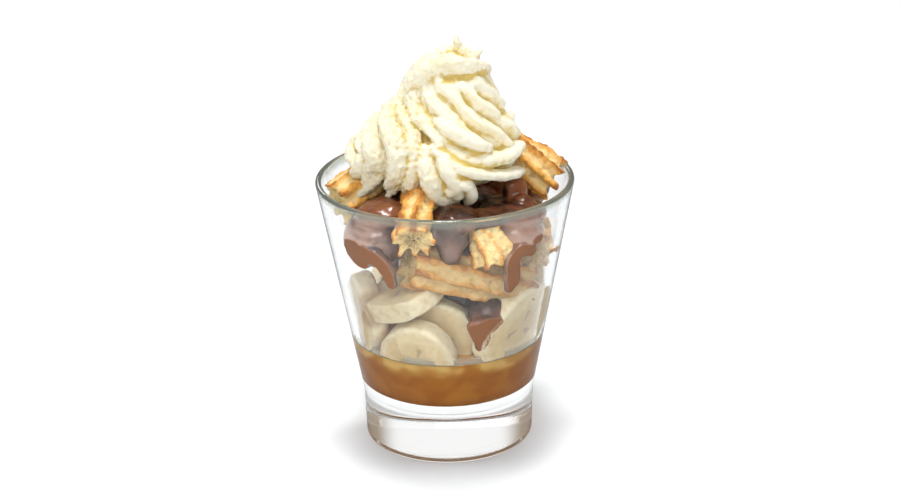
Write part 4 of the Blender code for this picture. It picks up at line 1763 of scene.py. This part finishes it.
    def pipe(self) -> bpy.types.Object:
        """Lays the masses, the folds, the tips and the strands, and fuses them.

        Returns:
            The heap before it is roughened.
        """
        sketch = Sketch()
        lobes = list(self.lobes.values())
        for name, (centre, radii) in self.lobes.items():
            sketch.ball(centre, [self.cores[name] * r for r in radii])
        sketch.tube(Swirl().rings())
        for centre, radii in self.filling:
            sketch.ball(centre, radii)
        for fold in self.folds:
            sketch.rope([VIEW.on_lobes(pixel, lobes, fold.sink * max(fold.radii))
                         for pixel in fold.crest], fold.radii, pinch=self.pinch)
        height, flat = self.sheet
        for tip in self.tips:
            sheet = [((0.0, tip.forward, height), flat)]
            sketch.rope([VIEW.on_lobes(pixel, sheet, 0.0) for pixel in tip.line], tip.radii)
        for strand in self.back:
            for k in range(strand.count):
                start = strand.first + strand.step * k
                crest = [(start + strand.turn * i / 3, e) for i, e in enumerate(strand.elevations)]
                sketch.rope([self.around(strand.lobe, a, e, 0.65 * strand.radii[1])
                             for a, e in crest], strand.radii, pinch=self.pinch)
        heap = sketch.build("whipped_cream_heap")
        fuse(heap, self.voxel, 2)
        return heap

    def creases(self, heap: bpy.types.Object) -> np.ndarray:
        """Finds how deep in a crease each vertex lies, for the painted shade in the cream's colour.

        Args:
            heap: The roughened heap.

        Returns:
            Its depth, more where the photograph shows a dark crease.
        """
        points = places(heap)
        crease = sum(weight * hollowness(heap, rounds) for weight, rounds in self.hollows)
        seen = ease((normals(heap) * (np.array(VIEW.eye()) - points)).sum(1), 0.0, 200.0)
        pixels = VIEW.pixels(points)
        # Painted shade along the listed lines, only on faces turned towards the eye.
        for shade in self.shades:
            line = curve_through(shade.line, 40)
            away = np.min([np.linalg.norm(pixels - place, axis=1) for place in line], axis=0)
            crease += shade.depth * seen * np.exp(-(away / shade.width) ** 2)
        return crease

    def build(self) -> None:
        """Pipes the cream and roughens it, most at its left side and its top."""
        heap = self.pipe()
        points = places(heap)
        grain = ease(points[:, 0], *self.grained_left) * 0.65 + 0.35
        grain = np.maximum(grain, ease(points[:, 2], *self.grained_top) * 0.8)
        rough = self.grain_depth * waviness(points, 1.5, 3, 1.0) * grain
        lumps = self.lump_depth * waviness(points, 4.0, 2, 2.0)
        points += normals(heap) * (rough + lumps)[:, None]
        move_to(heap, points)
        # Painted shade in the creases, read by the finish.
        paint(heap, "crease", self.creases(heap))
        paint(heap, "grain", grain)
        dress(heap, WhippedCream().make(), "whipped_cream")


@dataclass(frozen=True)
class Trail:
    """Sauce down the wall.

    Attributes:
        line: Pixels along it, or azimuths in degrees and heights.
        radii: Radii along it.
    """

    line: tuple[Pixel, ...]
    radii: tuple[float, ...]


@dataclass(frozen=True)
class Tint:
    """A place where the sauce looks darker or lighter.

    Attributes:
        centre: Its middle.
        reach: How far it goes.
        amount: How dark it is, less than 0 where it is lighter.
    """

    centre: Triple
    reach: float
    amount: float


@dataclass
class SauceFlow:
    """The chocolate sauce between the pieces and down the glass.

    Attributes:
        voxel: Size of the grid that it is fused on.
        masses: Middle and radii of its masses.
        tints: Where it looks darker, as painted shade in gaps and under the cream, or milkier.
        smears: Trails on the wall, drawn in the photograph.
        back_trails: Trails at the back, by azimuth and height.
        search: Distances from the eye between which the wall is looked for, and their step.
        glare: Distances from the wall between which its painted glare fades.
        glare_level: Heights between which its painted glare grows.
        glare_top: Height over which it has no painted glare.
        level: How far up it has to face, between steep and level.
        lumps: Height and size of its lumps, all over it and where it is level.
    """

    voxel: float = 0.5
    masses: tuple[tuple[Triple, Triple], ...] = (
        ((0.0, 2.0, 62.0), (17.0, 14.0, 22.0)),
        ((0.0, 0.0, 84.0), (22.0, 20.0, 9.0)),
        ((-23.0, -19.2, 83.0), (11.0, 10.6, 11.0)),
        ((-21.0, -22.0, 91.8), (9.5, 9.0, 4.4)),
        ((-13.0, -14.0, 92.5), (9.0, 8.0, 3.0)),
        ((12.5, -25.0, 90.3), (7.5, 6.5, 2.8)),
        ((3.0, -27.0, 91.0), (9.0, 9.0, 4.4)),
        ((1.5, -31.0, 84.0), (4.6, 5.0, 7.5)),
        ((-3.5, -31.5, 87.5), (3.2, 3.5, 3.6)),
        ((5.0, -30.5, 86.5), (3.0, 3.5, 4.6)),
        ((2.0, -22.0, 84.0), (4.5, 8.0, 7.0)),
        ((23.4, -20.4, 84.5), (9.5, 9.8, 8.6)),
        ((22.0, -18.0, 90.0), (12.0, 12.0, 4.2)),
        ((24.0, -13.0, 95.5), (4.4, 4.0, 5.4)),
        ((26.0, -18.0, 93.0), (4.6, 3.6, 3.2)),
        ((13.0, -23.0, 56.0), (7.0, 8.0, 6.5)),
        ((6.0, -12.0, 58.0), (10.0, 8.0, 7.0)),
        ((-16.0, 24.0, 88.0), (14.0, 10.0, 6.0)),
        ((20.0, 24.0, 87.0), (12.0, 12.0, 7.0)),
    )
    tints: tuple[Tint, ...] = (
        # Positive: painted shade in gaps and under the cream. Negative: a milkier tone.
        Tint((13.5, -13.0, 93.0), 7.5, 1.0),
        Tint((30.0, -8.0, 92.0), 4.5, 1.0),
        Tint((-14.0, -15.0, 94.0), 5.0, 1.0),
        Tint((8.0, -16.0, 60.0), 12.0, 1.0),
        Tint((3.0, -27.0, 94.5), 8.0, 0.25),
        Tint((25.0, -15.0, 97.0), 5.5, -0.5),
        Tint((1.5, -32.0, 84.0), 8.0, 0.5),
    )
    smears: tuple[Trail, ...] = (
        Trail(((353, 250), (358, 254), (363, 258)), (2.6, 3.6, 3.6)),
        Trail(((366, 252), (378, 259), (387, 270), (392, 283)), (3.0, 2.8, 2.6, 1.8)),
        Trail(((530, 249), (522, 249), (514, 256), (512, 267), (512, 278), (509, 288)),
              (2.3, 2.6, 2.7, 2.8, 3.0, 1.6)),
        Trail(((475, 326), (488, 324), (498, 320)), (2.8, 3.4, 2.0)),
        Trail(((478, 328), (481, 338), (480, 346)), (3.4, 3.1, 1.8)),
    )
    back_trails: tuple[Trail, ...] = (
        Trail(((128, 86), (120, 80), (116, 70)), (4.6, 4.0, 2.6)),
        Trail(((30, 86), (36, 78), (34, 68)), (4.6, 4.0, 2.6)),
    )
    search: Triple = (620.0, 790.0, 0.1)
    glare: tuple[float, float] = (2.0, 9.0)
    glare_level: tuple[float, float] = (66.0, 84.0)
    glare_top: float = 94.0
    level: tuple[float, float] = (0.25, 0.7)
    lumps: tuple[tuple[float, float], tuple[float, float]] = ((0.45, 5.0), (0.6, 8.0))

    def on_wall(self, glass: Tumbler, pixel: Pixel, depth: float) -> Vector:
        """Finds the point that a pixel meets on the inner wall.

        Args:
            glass: The glass.
            pixel: The pixel.
            depth: How far the point is moved in from the wall.

        Returns:
            The point.
        """
        eye, direction = VIEW.ray(pixel)
        line = np.array(eye) + np.array(direction) * np.arange(*self.search)[:, None]
        inside = np.hypot(line[:, 0], line[:, 1]) < glass.inner(line[:, 2])
        met = line[np.argmax(inside)]
        reach = math.hypot(met[0], met[1])
        met[:2] *= (reach - depth) / reach
        return Vector(met)

    def pour(self, glass: Tumbler) -> bpy.types.Object:
        """Lays the masses and the trails, and fuses them.

        Args:
            glass: The glass that holds it.

        Returns:
            The sauce before it is pressed on the glass.
        """
        sketch = Sketch()
        for centre, radii in self.masses:
            sketch.ball(centre, radii)
        for smear in self.smears:
            sketch.rope([self.on_wall(glass, pixel, 0.35 * max(smear.radii))
                         for pixel in smear.line], smear.radii)
        for trail in self.back_trails:
            line = []
            for azimuth, height in trail.line:
                reach = float(glass.inner(np.array([height]))[0]) - 0.4 * trail.radii[1]
                a = math.radians(azimuth)
                line.append((reach * math.cos(a), reach * math.sin(a), height))
            sketch.rope(line, trail.radii)
        flow = sketch.build("chocolate_flow")
        fuse(flow, self.voxel, 4)
        return flow

    def darkness(self, points: np.ndarray) -> np.ndarray:
        """Sums up the tints: painted shade, and a milkier tone where negative.

        Args:
            points: Points, one a row.

        Returns:
            How dark the sauce is at each.
        """
        dark = np.zeros(len(points))
        for tint in self.tints:
            away = np.linalg.norm(points - np.array(tint.centre), axis=1)
            dark += tint.amount * np.exp(-(away / tint.reach) ** 4)
        return dark

    def build(self, glass: Tumbler) -> None:
        """Pours the sauce and presses it on the glass.

        Args:
            glass: The glass that holds it.
        """
        flow = self.pour(glass)
        points = places(flow)
        upward = ease(normals(flow)[:, 2], *self.level)
        (height, size), (level_height, level_size) = self.lumps
        lumps = height * waviness(points, size, 2, 5.0)
        lumps += level_height * upward * waviness(points, level_size, 2, 4.0)
        points += normals(flow) * lumps[:, None]
        pressed = glass.press(points)
        move_to(flow, points)
        # Painted glare: strongest on steep sauce close to the wall and higher up.
        off = glass.inner(points[:, 2]) - np.hypot(points[:, 0], points[:, 1])
        high = ease(points[:, 2], *self.glare_level) * (points[:, 2] < self.glare_top)
        milky = (1.0 - ease(off, *self.glare)) * (0.35 + 0.65 * high) * (1.0 - 0.95 * upward)
        # Painted shade from the tints, which also weakens the painted glare.
        dark = self.darkness(points)
        paint(flow, "pressed", pressed)
        paint(flow, "upward", upward)
        paint(flow, "dark", dark)
        paint(flow, "painted_glare", milky * (1.0 - 0.75 * np.clip(dark, 0.0, 1.0)))
        dress(flow, ChocolateSauce().make(), "chocolate_sauce")


@dataclass(frozen=True)
class Lamp:
    """A soft lamp.

    Attributes:
        name: Its name.
        place: Where it hangs, in metres.
        size: Its width and height in metres.
        radiance: How bright its face is, with the floor near 1.
        clear: Whether its face shows through the glass.
    """

    name: str
    place: Triple
    size: tuple[float, float]
    radiance: float
    clear: bool = True

    def hang(self, aim: Triple) -> None:
        """Adds the lamp to the scene.

        Args:
            aim: What it points at, in metres.
        """
        data = bpy.data.lights.new(self.name, "AREA")
        data.shape = "RECTANGLE"
        data.size, data.size_y = self.size
        data.energy = self.radiance * math.pi * self.size[0] * self.size[1]
        obj = bpy.data.objects.new(self.name, data)
        obj.location = self.place
        obj.rotation_euler = (Vector(aim) - obj.location).to_track_quat("-Z", "Y").to_euler()
        obj.visible_transmission = self.clear
        bpy.context.scene.collection.objects.link(obj)


@dataclass
class Studio:
    """White floor, soft lamps and a bright room round the glass.

    Attributes:
        sides: Colour of the room's left and right sides.
        sides_from: Where they begin and are full, as shares of the way from the middle.
        fill: How bright the room is as a light.
        mirrored: How bright it is in a mirroring surface.
        lamps: The lamps.
        aim: What they point at, in metres.
        floor_reach: Half the size of the floor, in metres.
        bounces: How often light may bounce in all, off mirrors and through glass.
    """

    sides: Triple = (0.40, 0.33, 0.25)
    sides_from: tuple[float, float] = (0.42, 0.74)
    fill: float = 0.45
    mirrored: float = 0.2
    lamps: tuple[Lamp, ...] = (
        Lamp("overhead", (0.0, -0.03, 1.1), (0.22, 0.22), 43.0),
        Lamp("front", (-0.15, -0.85, 0.75), (0.5, 0.5), 4.6),
        Lamp("back_left", (-0.45, 1.2, 0.62), (0.5, 0.25), 4.0, clear=False),
    )
    aim: Triple = (0.0, 0.0, 0.08)
    floor_reach: float = 4.0
    bounces: tuple[int, int, int] = (24, 12, 20)

    def room(self) -> None:
        """Sets a white world with warm grey sides, dimmer as a light and when mirrored."""
        world = bpy.data.worlds.new("studio")
        world.use_nodes = True
        work = NodeWork(world.node_tree)
        place = work.node("TexCoord", {}).outputs["Generated"]
        sideways = work.calc("ABSOLUTE", work.node("SeparateXYZ", {0: place}).outputs[0])
        seen = work.mix(work.ramp(sideways, *self.sides_from), (1.0, 1.0, 1.0), self.sides)
        path = work.node("LightPath", {}).outputs
        straight = work.calc("MAXIMUM", path["Is Camera Ray"], path["Is Transmission Ray"])
        unseen = work.mix(path["Is Glossy Ray"], (self.fill,) * 3, (self.mirrored,) * 3)
        work.links.new(work.mix(straight, unseen, seen), work.nodes["Background"].inputs["Color"])
        bpy.context.scene.world = world

    def floor(self) -> None:
        """Lays the white floor."""
        bm = bmesh.new()
        bmesh.ops.create_grid(bm, x_segments=8, y_segments=8, size=self.floor_reach)
        mesh = bpy.data.meshes.new("floor")
        bm.to_mesh(mesh)
        bm.free()
        mesh.materials.append(StudioWhite().make())
        floor = bpy.data.objects.new("floor", mesh)
        bpy.context.scene.collection.objects.link(floor)

    def build(self) -> None:
        """Sets up the floor, the room, the lamps and the camera."""
        self.floor()
        self.room()
        for lamp in self.lamps:
            lamp.hang(self.aim)
        scene = bpy.context.scene
        scene.camera = VIEW.camera()
        scene.collection.objects.link(scene.camera)
        scene.view_settings.view_transform = "Standard"
        cycles = scene.cycles
        cycles.use_denoising = True
        cycles.max_bounces, cycles.glossy_bounces, cycles.transmission_bounces = self.bounces


CHURROS = (
    ChurroPiece("churro_rim_left", (-36.5, -10, 91), (-16, 3, 100.5), (0, 0, 1), 25, 8.4,
                 valley=0.8, bake=0.05, longest_tooth=1.5),
    ChurroPiece("churro_front", (-10.5, -34, 86.5), (-8, -16.5, 95.5), (0, 0, 1), 15, 7.5, bake=0.15,
                 dipped=0.15),
    ChurroPiece("churro_front_right", (15, -29.5, 75.5), (12.3, -25, 87.5), (1.5, -0.5, 0), -30, 7.2,
                 valley=0.86, bake=-0.12, dipped=0.7, longest_tooth=1.6),
    # churro_long and churro_side_right lie in shade, so their sauce brown is also painted shade.
    ChurroPiece("churro_long", (-13, -27.5, 75.2), (27.5, -13, 61.5), (3, -4, 0.5), 30, 7.9,
                 valley=0.8, bake=0.2, soaked_and_shaded=0.45, longest_tooth=0.8),
    ChurroPiece("churro_side_right", (28.5, -18.5, 75.5), (31.5, 12, 73), (1, 0, 0), 20, 7.2,
                 soaked_and_shaded=0.3),
    ChurroPiece("churro_rim_right", (37.5, 0, 95.3), (19.5, 2, 106), (0, 0, 0.5), 35, 8.2,
                 bake=0.15),
    ChurroPiece("churro_back", (-24, 21, 77), (14, 27, 80), (0, 3, 0), 40, 8.4),
    ChurroPiece("churro_rim_back", (14, 31, 97.5), (5, 10, 95), (0, 0, 0.5), -20, 8.6),
)

BANANAS = (
    BananaSlice("banana_front_low", (-9.8, -26.2, 41), (-0.32, -0.93, -0.16), 20, 13, 7.5),
    BananaSlice("banana_front_mid", (-3.6, -18, 45.6), (-0.10, -0.97, -0.10), 70, 14, 8),
    BananaSlice("banana_front_high", (-14.0, -20.0, 61.0), (-0.36, -0.05, 0.93), 40, 13.5, 6.8, 1.05),
    BananaSlice("banana_right", (22, -19, 50), (0.74, -0.64, -0.18), 28, 12.4, 7.5, 1.42),
    BananaSlice("banana_left", (-27.6, -9.5, 51), (-0.93, -0.32, -0.12), 10, 14, 7),
    BananaSlice("banana_back_left", (-17, 20.5, 46.5), (-0.62, 0.77, -0.12), 50, 14, 8),
    BananaSlice("banana_back", (8.5, 25.5, 48), (0.28, 0.95, -0.14), 0, 14, 8),
    BananaSlice("banana_back_right", (28.3, 6.5, 51.5), (0.97, 0.22, -0.14), 30, 13.6, 7.5),
    BananaSlice("banana_back_high", (-8, 20, 64), (-0.15, 0.40, 0.90), 80, 13.5, 6.5),
)


def main() -> None:
    """Builds every piece in order and reports it."""
    logging.basicConfig(level=logging.INFO, format="%(message)s")
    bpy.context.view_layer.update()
    glass = Tumbler()
    glass.build()
    flesh = BananaFlesh().make()
    for piece in BANANAS:
        piece.build(glass, flesh, BANANAS)
    dough = FriedDough().make()
    for churro in CHURROS:
        churro.build(glass, dough)
    CaramelPool().build(glass, BANANAS)
    SauceFlow().build(glass)
    CreamHeap().build()
    Studio().build()


if __name__ == "__main__":
    main()
